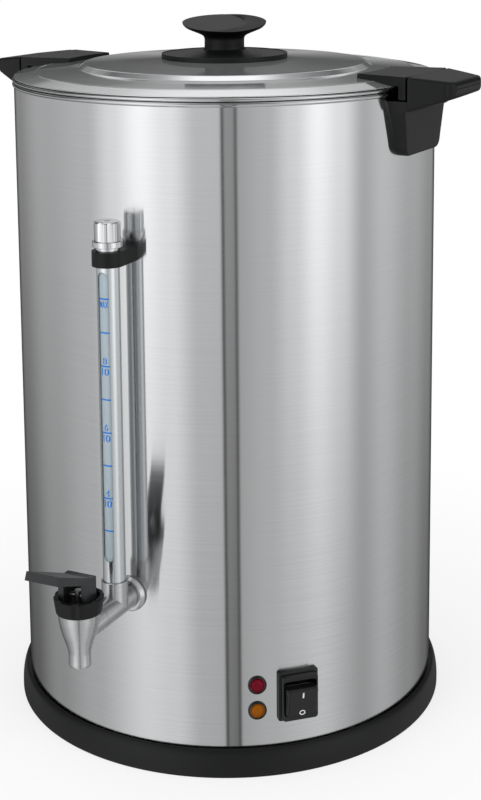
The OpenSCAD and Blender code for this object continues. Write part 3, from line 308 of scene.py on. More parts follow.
def eased(name, node, material, radius):
    """Copy of a CAD node with its loose triangles merged, whose sharp edges a bevel rounds by a radius
    in mm."""
    mesh = nodes[node].data.copy()
    mesh.name = name
    work = bmesh.new()
    work.from_mesh(mesh)
    bmesh.ops.remove_doubles(work, verts=work.verts, dist=2e-6)
    bmesh.ops.dissolve_limit(work, angle_limit=0.002, verts=work.verts, edges=work.edges)
    work.to_mesh(mesh)
    work.free()
    mesh.materials.clear()
    mesh.materials.append(material)
    mesh.shade_smooth()
    mesh.set_sharp_from_angle(angle=crease)
    made = placed(name, mesh)
    edge = made.modifiers.new("Moulded edge", "BEVEL")
    edge.width = radius / 1000
    edge.segments = 3
    edge.limit_method = "ANGLE"
    edge.angle_limit = crease
    edge.harden_normals = False
    made.modifiers.new("Even shading", "WEIGHTED_NORMAL").keep_sharp = True
    return made


fit(eased("gland_moulding", "cord_gland", black_abs, 0.5), "urn", "black_plastic", "cord_gland")
fit(eased("gland_nut_moulding", "gland_nut", black_abs, 0.4), "urn", "black_plastic", "gland_nut")


# Rocker switch: a sealed appliance switch snapped into the jacket. The bezel is a flange with a raised
# collar round the mouth, and the rocker turns on a steel pivot inside it, upper half proud when off.

def facing(turn):
    """Unit vectors outwards, sideways and up at a turn from the tap, seen from above."""
    sine, cosine = np.sin(np.radians(turn)), np.cos(np.radians(turn))
    return np.array([sine, -cosine, 0]), np.array([cosine, sine, 0]), np.array([0, 0, 1.0])


def section(half_width, top, bottom, edge, steps=6):
    """Rounded rectangle for each row: corners of radius edge inside a half width and between two
    heights."""
    turn = np.linspace(0, np.pi / 2, steps)
    turn = (turn + np.arange(4)[:, None] * np.pi / 2).ravel()
    across, over = np.repeat([1, -1, -1, 1], steps), np.repeat([1, 1, -1, -1], steps)
    half_width, top, bottom, edge = (np.asarray(v, float)[:, None]
                                     for v in (half_width, top, bottom, edge))
    middle, half = (top + bottom) / 2, (top - bottom) / 2
    return (across * (half_width - edge) + edge * np.cos(turn),
            middle + over * (half - edge) + edge * np.sin(turn))


def outward(outline):
    """Unit normals of a closed outline, pointing out of it: its direction turned by a quarter."""
    step = np.roll(outline, -1, 0) - np.roll(outline, 1, 0)
    normal = np.stack([step[:, 1], -step[:, 0]], 1)
    normal /= np.linalg.norm(normal, axis=1, keepdims=True)
    x, y = outline.T
    return normal * np.sign((x * np.roll(y, -1) - np.roll(x, -1) * y).sum())


def carried(profile, path):
    """Profile carried round a closed path: a profile point (n, h) lies n outside the path at height h.
    Gives the grid's places in the path's plane and its heights."""
    normal = outward(path)
    profile = np.asarray(profile, float)
    height = np.broadcast_to(profile[:, 1:], (len(profile), len(path)))
    return path + profile[:, :1, None] * normal, height


def slab(outline, low, high, edge, steps=4):
    """Plate: a closed outline carried from low to high, where a quarter round of radius edge draws it in.
    Gives the grid's places in the outline's plane and its heights."""
    turn = np.linspace(0, np.pi / 2, steps + 1)
    inset = edge * (1 - np.sin(turn))
    rise = edge * (1 - np.cos(turn))
    inset = np.r_[inset, inset[::-1]][:, None]
    height = np.concatenate([low + rise[:, None], high - rise[::-1, None]])
    height = np.broadcast_to(height, (len(inset), len(outline)))
    return outline - inset[:, :, None] * outward(outline), height


switch_turn, switch_height = 43.7, 54
out, side, up = facing(switch_turn)
switch = up * switch_height
# Half width, half height, corner radius and distance from the urn's axis, from inside the mouth round to
# the flange.
frame_rows = np.array([
    (11.2, 12, 1.6, 147), (11.2, 12, 1.6, 156.4), (11.3, 12.1, 1.7, 156.8), (11.6, 12.4, 1.9, 157),
    (12, 15.2, 1.9, 157), (12.3, 15.5, 2.1, 156.85), (12.4, 15.65, 2.2, 156.5), (12.4, 15.65, 2.2, 153),
    (12.5, 15.8, 2.1, 152.7), (12.8, 16.1, 1.9, 152.6), (13.3, 16.55, 1.8, 152.6), (13.8, 17.05, 1.7, 152.35),
    (14, 17.25, 1.6, 151.9), (14, 17.25, 1.6, 150.1), (12.4, 15.65, 2, 150.1), (12.4, 15.65, 2, 147),
    (11.2, 12, 1.6, 147)])
u, z = section(frame_rows[:, 0], frame_rows[:, 1], -frame_rows[:, 1], frame_rows[:, 2])
bezel = piece("switch_bezel_frame", gloss_black,
              switch + u[..., None] * side + z[..., None] * up + frame_rows[:, 3, None, None] * out)
fit(bezel, "urn", "black_gloss_plastic", "switch_bezel")

# Rocker: its side, drawn as (outwards, upwards) from the pivot and leant by 10 degrees, carried across.
pivot = 150.5
half_height, waist, crown = 10.5, 10.8, 11.2
lean = np.radians(10)
rock = np.array([[np.cos(lean), -np.sin(lean)], [np.sin(lean), np.cos(lean)]])
cheek = rounded([(crown, half_height), (waist, 0), (crown, -half_height),
                 (3, -9.8), (-2, -5.5), (-2, 5.5), (3, 9.8)],
                [2.4, 30, 2.4, 2.4, 2.4, 2.4, 2.4], 6, True)[:-1] @ rock
flat, width = slab(cheek, -10.9, 10.9, 2.2, 6)
rocker = piece("switch_rocker_moulding", gloss_black,
               switch + (pivot + flat[..., :1]) * out + flat[..., 1:] * up + width[..., None] * side,
               ends=True)
fit(rocker, "rocker", "black_gloss_plastic", "switch_rocker")

# White pad-printing ink: a thin flat coat, a little uneven in tone.
white_ink = grained("white_printing_ink", "#d8d8d6", "#ececea", 0.8, (0.5, 0.6), 0.004)
stroke = rounded([(-0.55, -2.0), (0.55, -2.0), (0.55, 2.0), (-0.55, 2.0)], 0.2, 3, True)[:-1]
loop = np.linspace(0, 2 * np.pi, 48, endpoint=False)
loop = np.stack([1.75 * np.cos(loop), 1.5 * np.sin(loop)], 1)
low, high, half_line = 0.02, 0.1, 0.34
for name, half, away in (("switch_mark_on", 1, 6.3), ("switch_mark_off", -1, 7.0)):
    slope = np.array([crown - waist, half * half_height]) / np.hypot(crown - waist, half_height)
    face = (np.array([waist, 0]) + away * slope) @ rock
    along, normal = slope @ rock, half * np.array([slope[1], -slope[0]]) @ rock
    if half > 0:
        flat, height = slab(stroke, low, high, 0.02, 1)
    else:
        flat, height = carried([(-half_line, low), (-half_line, high), (half_line, high), (half_line, low),
                                (-half_line, low)], loop)
    spot = face + half * flat[..., 1:] * along + height[..., None] * normal
    ink = piece(name, white_ink,
                switch + (pivot + spot[..., :1]) * out + spot[..., 1:] * up + flat[..., :1] * side,
                ends=half > 0)
    fit(ink, "rocker", "pale_plastic")

finished("switch_body", gloss_black)
finished("switch_pivot", zinc_plate)


# Pilot lamps: red above, amber below, each a tinted polycarbonate lens in a black snap-in bezel, with a
# neon lamp in a pale holder behind the jacket.

# Tinted polycarbonate: unlit, so the lens is deep in colour, with only a faint gloss.
red_lens = grained("red_polycarbonate", "#5a0516", "#74091f", 2.5, (0.16, 0.22), 0.004,
                   Specular_IOR_Level=0.12)
amber_lens = grained("amber_polycarbonate", "#7c4200", "#9a5800", 2.5, (0.16, 0.22), 0.004,
                     Specular_IOR_Level=0.12)
lamp_turn, red_height, amber_height = 33.2, 63, 45
out, side, up = facing(lamp_turn)
ring = rounded([(5, 146), (5, 151.2), (5.5, 151.5), (6.3, 151), (6.3, 150.1), (5.6, 150.1), (5.6, 146)],
               [0, 0.15, 0.3, 0.4, 0.1, 0, 0], 5, True)
rings = [turned(ring, up * z, out, up, 72) for z in (red_height, amber_height)]
fit(piece("lamp_bezel_rings", gloss_black, *rings), "urn", "black_gloss_plastic", "lamp_bezels")
swell = np.linspace(0, np.pi / 2, 12)
dome = np.concatenate([[(0, 144), (4.95, 144), (4.95, 150.6), (4.2, 150.3)],
                       np.stack([4 * np.cos(swell), 150.5 + 1.1 * np.sin(swell)], 1)])
red = piece("red_lamp_lens", red_lens, turned(dome, up * red_height, out, up, 72))
fit(red, "urn", "red_lens", "red_lens")
amber = piece("amber_lamp_lens", amber_lens, turned(dome, up * amber_height, out, up, 72))
fit(amber, "urn", "amber_lens", "amber_lens")
finished("lamp_holders", pale_nylon)


# Tap shank: a steel tube through jacket and boiler, with a tee socket on top for the gauge and a round
# escutcheon where it meets the jacket. A gasket and nut draw it tight from inside.

def flowing(points, steps=8):
    """Smooth line through points: a cubic between two of them, whose slope at each is half the way from
    the point before to the point after."""
    p = np.asarray(points, float)
    after = np.concatenate([p[1:], 2 * p[-1:] - p[-2:-1]])
    before = np.concatenate([2 * p[:1] - p[1:2], p[:-1]])
    slope = (after - before) / 2
    t = np.linspace(0, 1, steps, endpoint=False)[None, :, None]
    line = ((2 * t**3 - 3 * t**2 + 1) * p[:-1, None] + (t**3 - 2 * t**2 + t) * slope[:-1, None]
            + (3 * t**2 - 2 * t**3) * p[1:, None] + (t**3 - t**2) * slope[1:, None])
    return np.concatenate([line.reshape(-1, p.shape[1]), p[-1:]])


# Turned stainless steel: fine tool marks run round the axis, so a light is drawn out along it and stays
# sharp across it. The marks are about 0.1 mm apart and are drawn at 0.5 mm so that they show.
turned_steel = brushed("turned_stainless_steel", "#c2c3c4", "#cecfd0", 0.5, 15, (0.22, 0.28),
                       0.0006, 0.01, Anisotropic=0.8, Anisotropic_Rotation=0.25)
# Satin stainless steel: pressed and tumbled, so it is soft grey with no clear image.
satin_steel = grained("satin_stainless_steel", "#bfbfbd", "#cbcbc9", 3.0, (0.28, 0.34), 0.004, Metallic=1.0)
front, aside, up = facing(0)
# The shank's height over the table, and the distances of the gauge's tee and of the tap from the axis.
shank, tee, tap = up * 122.3, front * 169.3, front * 214
tube = [(5.5, 130), (5.5, 191.9), (8.45, 191.9), (8.5, 191.8), (8.5, 150.4), (8.5, 130), (5.5, 130)]
socket = rounded([(0, 122.3), (8.75, 122.3), (8.75, 140), (7.6, 140), (7.6, 136), (0, 136)],
                 [0, 0, 0.7, 0.3, 0, 0], 5)
fit(piece("tap_shank_tee", turned_steel, turned(tube, shank, front, up, 96),
          turned(socket, tee, up, front, 96)), "urn", "satin_steel", "tap_shank")
plate = rounded([(8.6, 150.1), (12.2, 150.1), (12.2, 151.4), (10.6, 154.1), (8.6, 154.1), (8.6, 150.1)],
                [0, 0.2, 0.8, 0.8, 0.3, 0], 5)
fit(piece("tap_escutcheon", turned_steel, turned(plate, shank, front, up, 96)),
    "urn", "satin_steel", "escutcheon")
# Silicone rubber: milky and dull, slightly translucent.
milky_silicone = grained("silicone_rubber", "#cbc4b6", "#d8d2c4", 3.0, (0.55, 0.65), 0.01)
finished("shank_gasket", milky_silicone)
finished("shank_nut", satin_steel)


# Tap body: a casting with a conical spout, waisted above its outlet, and a stub that screws to the shank.
# It is turned all over, so no mould line is left on it.
spout = np.concatenate([
    rounded([(4.8, 112), (4.8, 100.4), (6.9, 100.4)], [0, 0.4, 0], 4),
    flowing([(6.9, 100.5), (7.35, 101.6), (7.3, 104.6), (7.3, 108), (7.55, 110.5), (8.6, 114.5),
             (9.65, 117.8), (10.8, 121.2), (11.75, 124.6), (12.45, 127.8), (13.05, 131.1), (13.4, 135.6)], 6),
    [(13.5, 136.5), (0, 136.5)]])
stub = [(5.5, 192.1), (8.45, 192.1), (8.5, 192.2), (8.5, 212), (0, 212)]
fit(piece("tap_body_casting", turned_steel, turned(spout, tap, up, front, 128),
          turned(stub, shank, front, up, 96)), "urn", "satin_steel", "tap_body")


# Bonnet: the black screw cap of the tap, with eight finger grooves, and inside it the stem with its
# silicone cup, the spring that holds it down and the pin of the lever.

def grooved(grid, centre, reach, cutter, count, shift=0.0):
    """Draws a turned grid about the vertical through centre in to where round cutters leave it: at an
    angle a from a cutter's own, reach cos a minus the root of cutter squared less (reach sin a) squared."""
    flat = grid[..., :2] - centre[:2]
    r = np.linalg.norm(flat, axis=2)
    a = (np.arctan2(flat[..., 1], flat[..., 0]) - shift) % (2 * np.pi / count)
    a = np.minimum(a, 2 * np.pi / count - a)
    inside = cutter**2 - (reach * np.sin(a)) ** 2
    limit = np.where(inside > 0, reach * np.cos(a) - np.sqrt(np.maximum(inside, 0)), np.inf)
    grid[..., :2] = centre[:2] + flat * (np.minimum(r, limit) / np.maximum(r, 1e-9))[..., None]
    return grid


cap_wall = rounded([(0, 142.3), (13.2, 142.3), (13.2, 147.3), (16.2, 147.3), (14.6, 136.6), (0, 136.6)],
                   [0, 0.4, 0.5, 1.1, 0.5, 0], 6)
# More rows up the wall, for the grooves.
cap_wall = np.concatenate([cap_wall[:-8], np.linspace(cap_wall[-8], cap_wall[-7], 8)[1:-1], cap_wall[-7:]])
bonnet = grooved(turned(cap_wall, tap, up, front, 320), tap, reach=18.0, cutter=3.4, count=8,
                 shift=np.pi / 8)
fit(piece("tap_bonnet_moulding", black_abs, bonnet), "urn", "black_plastic", "tap_bonnet")
finished("tap_stem", satin_steel)
finished("seat_cup", milky_silicone)
# Spring: five turns of wire. Radii of the coil and the wire, lowest point and rise per radian.
coil_radius, wire_radius, lowest, rise = 4.2, 0.5, 126.77, 0.4
turns = np.linspace(0, 10 * np.pi, 121)[:, None]
wire = np.linspace(0, 2 * np.pi, 10, endpoint=False)
reach = coil_radius + wire_radius * np.cos(wire)
height = lowest + rise * turns + wire_radius * np.sin(wire)
spoke = np.cos(turns) * front + np.sin(turns) * aside
coil = tap + reach[:, None] * spoke[:, None] + height[..., None] * up
spring = piece("tap_spring_coil", zinc_plate, coil, ends=True)
fit(spring, "urn", "zinc_steel", "tap_spring")
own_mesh(spring)
finished("lever_pin", zinc_plate)


# Lever: one black moulding, a yoke that straddles the stem on its pin and a paddle that rises forwards.
# Pulled down, its toe bears on the bonnet's floor and lifts the stem.

# Glass-filled nylon: black with a trace of grey from its fibres, and glossier than the handles.
black_nylon = grained("glass_filled_black_nylon", "#16181a", "#202224", 0.7, (0.34, 0.44), 0.01)
lever = eased("tap_lever_moulding", "tap_lever", black_nylon, 0.7)
fit(lever, "lever", "black_plastic", "tap_lever")


# Sight gauge: a glass tube that shows the level, in a slotted aluminium shield that stands in the tee
# and is held at its top by a black clip screwed to the jacket. The scale is printed on the glass.

# Anodised aluminium tube, finely blasted first: pale, even and silky.
anodised = grained("satin_anodised_aluminium", "#d6dadc", "#e0e3e5", 1.5, (0.2, 0.25), 0.003,
                   Metallic=1.0)
# Opal sight glass: milky and faintly blue, so that the printed scale stands out against it.
sight_glass = grained("opal_sight_glass", "#b2c0c8", "#bccad2", 12.0, (0.05, 0.09), 0.002,
                      Transmission_Weight=0.25, IOR=1.5)
finished("gauge_shield", anodised)
bore = rounded([(4.3, 131.1), (5.5, 131.1), (5.5, 150), (6.3, 151), (6.3, 350), (5.5, 351), (5.5, 368.8),
                (4.3, 368.8)], [0.2, 0.4, 1, 1, 1, 1, 0.4, 0.2], 4, True)
fit(piece("gauge_glass_tube", sight_glass, turned(bore, tee, up, front, 72)),
    "urn", "gauge_glass", "gauge_glass")
finished("gauge_seal", milky_silicone)
fit(eased("gauge_clip_band", "gauge_clip", black_abs, 0.4), "urn", "black_plastic", "gauge_clip")
finished("clip_screw", zinc_plate)

# Ceramic ink fired on the glass: blue, flat and opaque.
blue_ink = grained("blue_ceramic_ink", "#006cc8", "#007ad8", 0.8, (0.4, 0.5), 0.002,
                   Specular_IOR_Level=0.2)
# Distances from the glass's own axis: under the ink of a line, of the lettering and over a line.
ink_under, ink_radius, ink_over = 6.31, 6.36, 6.4


def printed(name, words, wide, high, z):
    """Lettering of a width and height in mm, made a mesh and bent round the glass: a width x becomes the
    angle x / r."""
    text = bpy.data.curves.new(name, "FONT")
    text.body, text.offset, text.align_x, text.align_y = words, 0.02, "CENTER", "CENTER"
    holder = placed(name, text)
    bpy.context.view_layer.update()
    settled = bpy.context.evaluated_depsgraph_get()
    mesh = bpy.data.meshes.new_from_object(holder.evaluated_get(settled))
    bpy.data.objects.remove(holder)
    flat = np.zeros(3 * len(mesh.vertices))
    mesh.vertices.foreach_get("co", flat)
    x, y = (size * (v - v.min()) / np.ptp(v) - size / 2
            for v, size in zip(flat.reshape(-1, 3).T, (wide, high)))
    angle = x[:, None] / ink_radius
    bent = tee + ink_radius * (np.cos(angle) * front + np.sin(angle) * aside)
    bent[:, 2] += z + y
    mesh.vertices.foreach_set("co", (bent / 1000).ravel())
    mesh.materials.clear()
    mesh.materials.append(blue_ink)
    fit(placed(name, mesh), "urn", "gauge_glass")


# The scale: its top line is MAX, and the others lie a tenth below each other.
top_line, tenth, half_line = 329.8, 22.07, 0.45
bow = np.linspace(-0.54, 0.54, 17)[:, None]
spoke = np.cos(bow) * front + np.sin(bow) * aside
for count, z in enumerate(top_line - tenth * np.arange(8)):
    line = np.stack([tee + r * spoke + up * (z + h) for r, h in (
        (ink_under, -half_line), (ink_over, -half_line), (ink_over, half_line), (ink_under, half_line))], 1)
    fit(piece(f"gauge_line_{count}", blue_ink, line, ends=True), "urn", "gauge_glass")
printed("gauge_word_max", "MAX", 6.4, 4.4, 326.2)
for tenths in (8, 6, 4):
    z = top_line - tenth * (10 - tenths)
    printed(f"gauge_top_{tenths}", f"{tenths}", 2.9, 4.6, z + 3.5)
    printed(f"gauge_under_{tenths}", "10", 5.4, 4.8, z - 3.7)


# Gauge cap: a chromed screw cap with a fluted grip over a plain collar, and a vent hole in its top.
# It closes the top of the shield, and comes off so that the glass can be brushed out.

# Chromium plate over polished brass: a hard mirror, cooler than the steel.
chrome = grained("chromium_plate", "#d2d4d6", "#dddee0", 30.0, (0.05, 0.09), 0.001, Metallic=1.0)
grip = rounded([(0, 374), (1.5, 374), (1.5, 379.3), (8.5, 379.3), (8.5, 366.8), (9.85, 366.8), (9.85, 362.8),
                (6, 362.8), (6, 369.2), (0, 369.2)], [0, 0, 0.25, 1.2, 0.3, 0.5, 0.4, 0.1, 0, 0], 6)
cap = turned(grip, tee, up, front, 320)
# The flutes run above the collar and leave the middle of the top.
collar_top, middle = 367.5, 6.5
fluted = (cap[:, 0, 2] > collar_top) & (np.linalg.norm(cap[:, 0, :2] - tee[:2], axis=1) > middle)
cap[fluted] = grooved(cap[fluted], tee, reach=12.8, cutter=5.0, count=8)
fit(piece("gauge_cap_fluted", chrome, cap), "cap", "polished_steel", "gauge_cap")


# Handles: two black shelves moulded with a leg that lies against the jacket and takes two screws from
# inside. The grip's inner end is an arc, with a narrow gap to the lug on the lid.

def drawn_in(distance, radius):
    """How far a round of a radius has drawn in at a distance from its end: radius minus the circle's
    height."""
    d = np.clip(distance, 0, radius)
    return radius - np.sqrt(np.maximum(radius**2 - (radius - d) ** 2, 0))


# Heights of the grip's top, the shelf under it, the leg's foot, the end of the foot's rounding and the
# leg's end inside the grip. Radii of the arc by the lug, the tip, the jacket's side and the leg's bow.
grip_top, shelf, foot_end, foot_round, leg_end = 464, 441, 410, 418, 447.7
root_radius, tip_radius, seat_radius, bow_radius = 161.9, 188, 149.9, 163


def grip_and_leg(turn):
    """Grip: rounded rectangles along the way out, from the groove's arc to the tip. Leg: rings up the
    jacket, with rounded outer corners, a hollow fillet that widens to the top, and an inner side on the
    jacket's curve."""
    out, side, up = facing(turn)
    reach, tip_round = 26.1, 6
    # Distance from the tip, and the share of the way out.
    d = np.r_[0.001, 0.25, 0.6, 1.0, 1.5, 2.2, np.linspace(3, 7, 6), np.linspace(9, reach - 1.2, 8),
              reach - 0.6, reach - 0.25, reach - 0.001][::-1]
    f = 1 - d / reach
    corner = np.sqrt(np.maximum(tip_round**2 - np.clip(tip_round - d, 0, tip_round) ** 2, 0))
    half = np.minimum(34 - 10.5 * f, np.where(d < tip_round, 19.42 + corner, np.inf))
    soft = drawn_in(d, 3) + drawn_in(reach - d, 0.9)
    u, z = section(half - drawn_in(reach - d, 0.6), grip_top - 3.2 * f - soft, shelf + 10.8 * f + soft,
                   np.full(len(d), 1.8))
    root = np.sqrt(root_radius**2 - u**2)
    o = root + (tip_radius - root) * f[:, None]
    grip = o[..., None] * out + u[..., None] * side + z[..., None] * up

    z = np.r_[410.001, 410.3, 410.8, 411.5, np.linspace(412.5, foot_round, 7), np.linspace(422, 437.7, 7),
              np.linspace(438.5, 440.7, 4), shelf, np.linspace(442, 447.1, 7), 447.5, leg_end]
    corner = foot_round - foot_end
    half = np.where(z < foot_round, 20.5 + np.sqrt(np.maximum(corner**2 - (foot_round - z) ** 2, 0)),
                    np.interp(z, [foot_round, shelf, leg_end], [28.5, 33.5, 34]))
    thick = np.interp(z, [foot_end, 440.7, shelf, leg_end], [155.5, 156.6, 159.3, 159.3])
    thick = (thick - drawn_in(z - foot_end, 2))[:, None]
    wide = (half + np.interp(z, [foot_round, 437, 443, leg_end], [0, 1.2, 3.4, 5.5]))[:, None]
    half = half[:, None]
    edge = 2.0
    arc = np.linspace(np.pi, np.pi / 2, 7)
    t = np.linspace(1, 0, 6)
    near = np.sqrt(seat_radius**2 - wide**2)
    start = np.sqrt(seat_radius**2 - half**2) + 1.5 * (wide - half)
    u = np.concatenate([-half - (wide - half) * t**2, -(half - edge) + edge * np.cos(arc)], 1)
    o = np.concatenate([start + (near - start) * (1 - (1 - t) ** 2), thick - edge + edge * np.sin(arc)], 1)
    face = (half - edge) * np.linspace(-1, 1, 11)[1:-1]
    bow = np.sqrt(bow_radius**2 - face**2) - np.sqrt(bow_radius**2 - (half - edge) ** 2)
    bow = np.where(z[:, None] >= shelf, bow, 0)
    inner = wide * np.linspace(1, -1, 13)[1:-1]
    o = np.concatenate([o, thick + bow, o[:, ::-1], np.sqrt(seat_radius**2 - inner**2)], 1)
    u = np.concatenate([u, face, -u[:, ::-1], inner], 1)
    leg = o[..., None] * out + u[..., None] * side + z[:, None, None] * up
    return grip, leg


right_turn, left_turn = 85.5, 265.5
for name, turn in (("handle_right", right_turn), ("handle_left", left_turn)):
    fit(piece(name + "_moulding", black_abs, *grip_and_leg(turn), ends=True), "urn", "black_plastic", name)
finished("handle_screws", zinc_plate)


# Percolator: the pump tube stands on the boiler's floor and carries the perforated basket with its
# spreader, all pressed from stainless sheet. A loose disc in the tube's foot is the pump's valve.
for node in ("pump_tube", "pump_valve", "coffee_basket", "basket_spreader"):
    finished(node, satin_steel)


# Lid: stainless sheet spun with a flat flange, a fine bead, a sloping ring and a raised step round a dome.
# A silicone ring under the flange seats in the boiler's mouth.

# Buffed stainless steel: a mirror with a slight haze, so that dark things in it look a little grey.
buffed_steel = grained("buffed_stainless_steel", "#cfd1d2", "#dadbdc", 25.0, (0.07, 0.11), 0.002,
                       Metallic=0.82)
spun = rounded([(0, 468.4), (45, 467.55), (100.5, 465.05), (105, 461.95), (134.1, 459.82), (134.7, 460.05),
                (135.3, 459.98), (136, 459.58), (150, 457.3), (150, 456.5), (135, 458.95), (105, 461.15),
                (100.5, 464.25), (45, 466.75), (0, 467.6)],
               [0, 60, 2.2, 2.2, 0.4, 0.3, 0.3, 0.6, 0.35, 0.35, 4, 2.2, 2.2, 60, 0], 8)
lid = piece("lid_spinning", buffed_steel, turned(spun, count=360))
fit(lid, "lid", "polished_steel", "lid_shell")
finished("lid_seal", milky_silicone)


# Knob: a black mushroom with a slanted flat on its crown, moulded with a wide heat-guard disc at the foot
# of its stem and screwed on from under the lid.

def planed(profile, cut, count=240):
    """Turned profile cut by a sloping surface, whose height is a function of the place in plan: from where
    the profile first rises above it, points move in to that radius and down to the surface."""
    angle = np.linspace(0, 2 * np.pi, count, endpoint=False)
    ring = np.stack([np.cos(angle), np.sin(angle)], 1)
    r, z = (np.repeat(v[:, None], count, 1) for v in np.asarray(profile, float).T)
    over = z - cut(r[..., None] * ring)
    k = np.argmax(over > 0, axis=0)
    col = np.arange(count)
    share = over[k - 1, col] / (over[k - 1, col] - over[k, col])
    meet = r[k - 1, col] + share * (r[k, col] - r[k - 1, col])
    after = np.arange(len(profile))[:, None] >= k
    r = np.where(after, np.minimum(r, meet), r)
    z = np.where(after, np.minimum(z, cut(r[..., None] * ring)), z)
    return np.concatenate([r[..., None] * ring, z[..., None]], 2)


def knob_top(place):
    """Height of the knob's slanted top: a plane that falls by 11 degrees towards one side, round in plan.
    Past its edge a skirt falls away, but on one side a swell rises, steeper than the plane."""
    fall_turn, middle_height, slope, facet_radius = 23, 493, 0.1944, 21.5
    out, side, _ = facing(fall_turn)
    fall, across = place @ out[:2], place @ side[:2]
    plane = middle_height - slope * fall
    past = np.maximum(np.hypot(across + 7.6, fall - 1.5) - facet_radius, 0)
    skirt = 0.14 * past**2 / (past + 0.8)
    share = np.clip(across / 14, 0, 1) * past / (past + 2)
    return plane + share * (1.6 - 0.11 * fall) - (1 - share) * skirt


# Profile: the disc, the stem, the cap's underside and its crown as a quarter of an ellipse.
crown = np.linspace(0, np.pi / 2, 60)
mushroom = np.concatenate([
    rounded([(0, 467.6), (45, 467.6), (45, 471), (43.9, 471), (43.6, 470.4), (24, 471.3), (14.2, 473),
             (14.2, 480.5)], [0, 0.2, 0.4, 0.3, 0.6, 12, 3, 0], 6),
    flowing([(14.2, 480.5), (14.5, 481.9), (15.4, 483.2), (17.4, 484.4), (23, 486.7), (26.2, 488.1),
             (28.3, 489.7), (29.5, 491.2), (30, 492.9)], 8),
    np.stack([30 * np.cos(crown), 492.9 + 5.4 * np.sin(crown)], 1)[1:]])
knob = planed(mushroom, knob_top)
fit(piece("lid_knob_moulding", black_abs, knob, sharp=0.25), "lid", "black_plastic", "lid_knob")
finished("knob_screw", zinc_plate)


# Lugs: two black plates screwed on the lid, flush with the handles. Each hooks down outside the rim, and
# a twist of the lid carries it clear of the handle.

def lug(turn):
    """Closed profile of plate and hook carried round the axis by a half angle each way, drawn in by a small
    round at both ends. The underside, which lies on the lid, keeps its place."""
    half_angle, edge, middle = 12.4, 0.7, 140
    profile = rounded([(121, 464), (160.7, 464), (160.7, 448.5), (155, 448.5), (155, 457.5), (150, 457.32),
                       (135, 459.77), (121, 460.8)], [1, 1.2, 1, 1, 0.5, 0, 0, 0], 5, True)[:-1]
    end = np.linspace(0, np.pi / 2, 5)
    inset = edge * (1 - np.sin(end))
    inset = np.r_[inset, np.zeros(9), inset[::-1]][:, None]
    short = np.degrees(edge / middle) * (1 - np.cos(end))
    a = np.r_[short - half_angle, np.linspace(1 - half_angle, half_angle - 1, 9), (half_angle - short)[::-1]]
    free = (profile[:, 1] > 461.5) | (profile[:, 0] > 152)
    flat = profile - (inset * free)[..., None] * outward(profile)
    t = np.radians(turn + a)[:, None]
    return np.stack([flat[..., 0] * np.sin(t), -flat[..., 0] * np.cos(t), flat[..., 1]], -1)


for name, turn in (("lug_right", right_turn), ("lug_left", left_turn)):
    fit(piece(name + "_moulding", black_abs, lug(turn), ends=True), "lid", "black_plastic", name)
finished("lug_screws", zinc_plate)


# Floor: a plain white sweep, which shows white to the camera and keeps a trace of the urn's shadow.
# It isn't part of the urn.
half_floor = 3000
ground = half_floor * np.array([[(-1, -1, 0), (1, -1, 0)], [(-1, 1, 0), (1, 1, 0)]], float)
sweep_white, tree = blank("white_paper_sweep")
tree.nodes.clear()
seen = add(tree, "LightPath")
paper = add(tree, "BsdfDiffuse", {"Color": linear("#f2f2f2")})
glow = add(tree, "Emission", {"Color": (1, 1, 1, 1), "Strength": 1.0})
place = add(tree, "TexCoord")
away = add(tree, "VectorMath", {0: place.outputs["Object"]}, operation="LENGTH")
white = add(tree, "MapRange", {"Value": away.outputs["Value"], "From Min": 0.15, "From Max": 0.5,
                               "To Min": 0.72})
part = add(tree, "Math", {0: seen.outputs["Is Camera Ray"], 1: white.outputs["Result"]},
           operation="MULTIPLY")
mixed = add(tree, "MixShader", {0: part.outputs[0], 1: paper.outputs[0], 2: glow.outputs[0]})
add(tree, "OutputMaterial", {"Surface": mixed.outputs[0]})
floor = piece("floor_sweep", sweep_white, ground, around=False)
floor.visible_glossy = False


# Studio: white behind the urn, and for what the metal reflects a soft panel on either side of the
# camera, a gap with dark stripes between them where the camera stands, and dimmer walls behind.

def bearings(*panels):
    """Ramp stops from bearings in degrees off the camera's own and their light levels."""
    return [((degrees + 180) / 360, level) for degrees, level in panels]


camera_turn = 26.0
to_camera, to_side, _ = facing(camera_turn)
world = bpy.data.worlds.new("studio")
world.use_nodes = True
bpy.context.scene.world = world
tree = world.node_tree
tree.nodes.clear()
place = add(tree, "TexCoord")
axes = add(tree, "SeparateXYZ", {0: place.outputs["Generated"]})
front_y = add(tree, "Math", {0: axes.outputs["Y"], 1: -1.0}, operation="MULTIPLY")
bearing = add(tree, "Math", {0: axes.outputs["X"], 1: front_y.outputs[0]}, operation="ARCTAN2")
from_camera = add(tree, "Math", {0: bearing.outputs[0], 1: np.radians(camera_turn)}, operation="SUBTRACT")
wrapped = add(tree, "Math", {0: from_camera.outputs[0], 1: np.pi, 2: -np.pi}, operation="WRAP")
round_it = add(tree, "MapRange", {"Value": wrapped.outputs[0], "From Min": -np.pi, "From Max": np.pi})
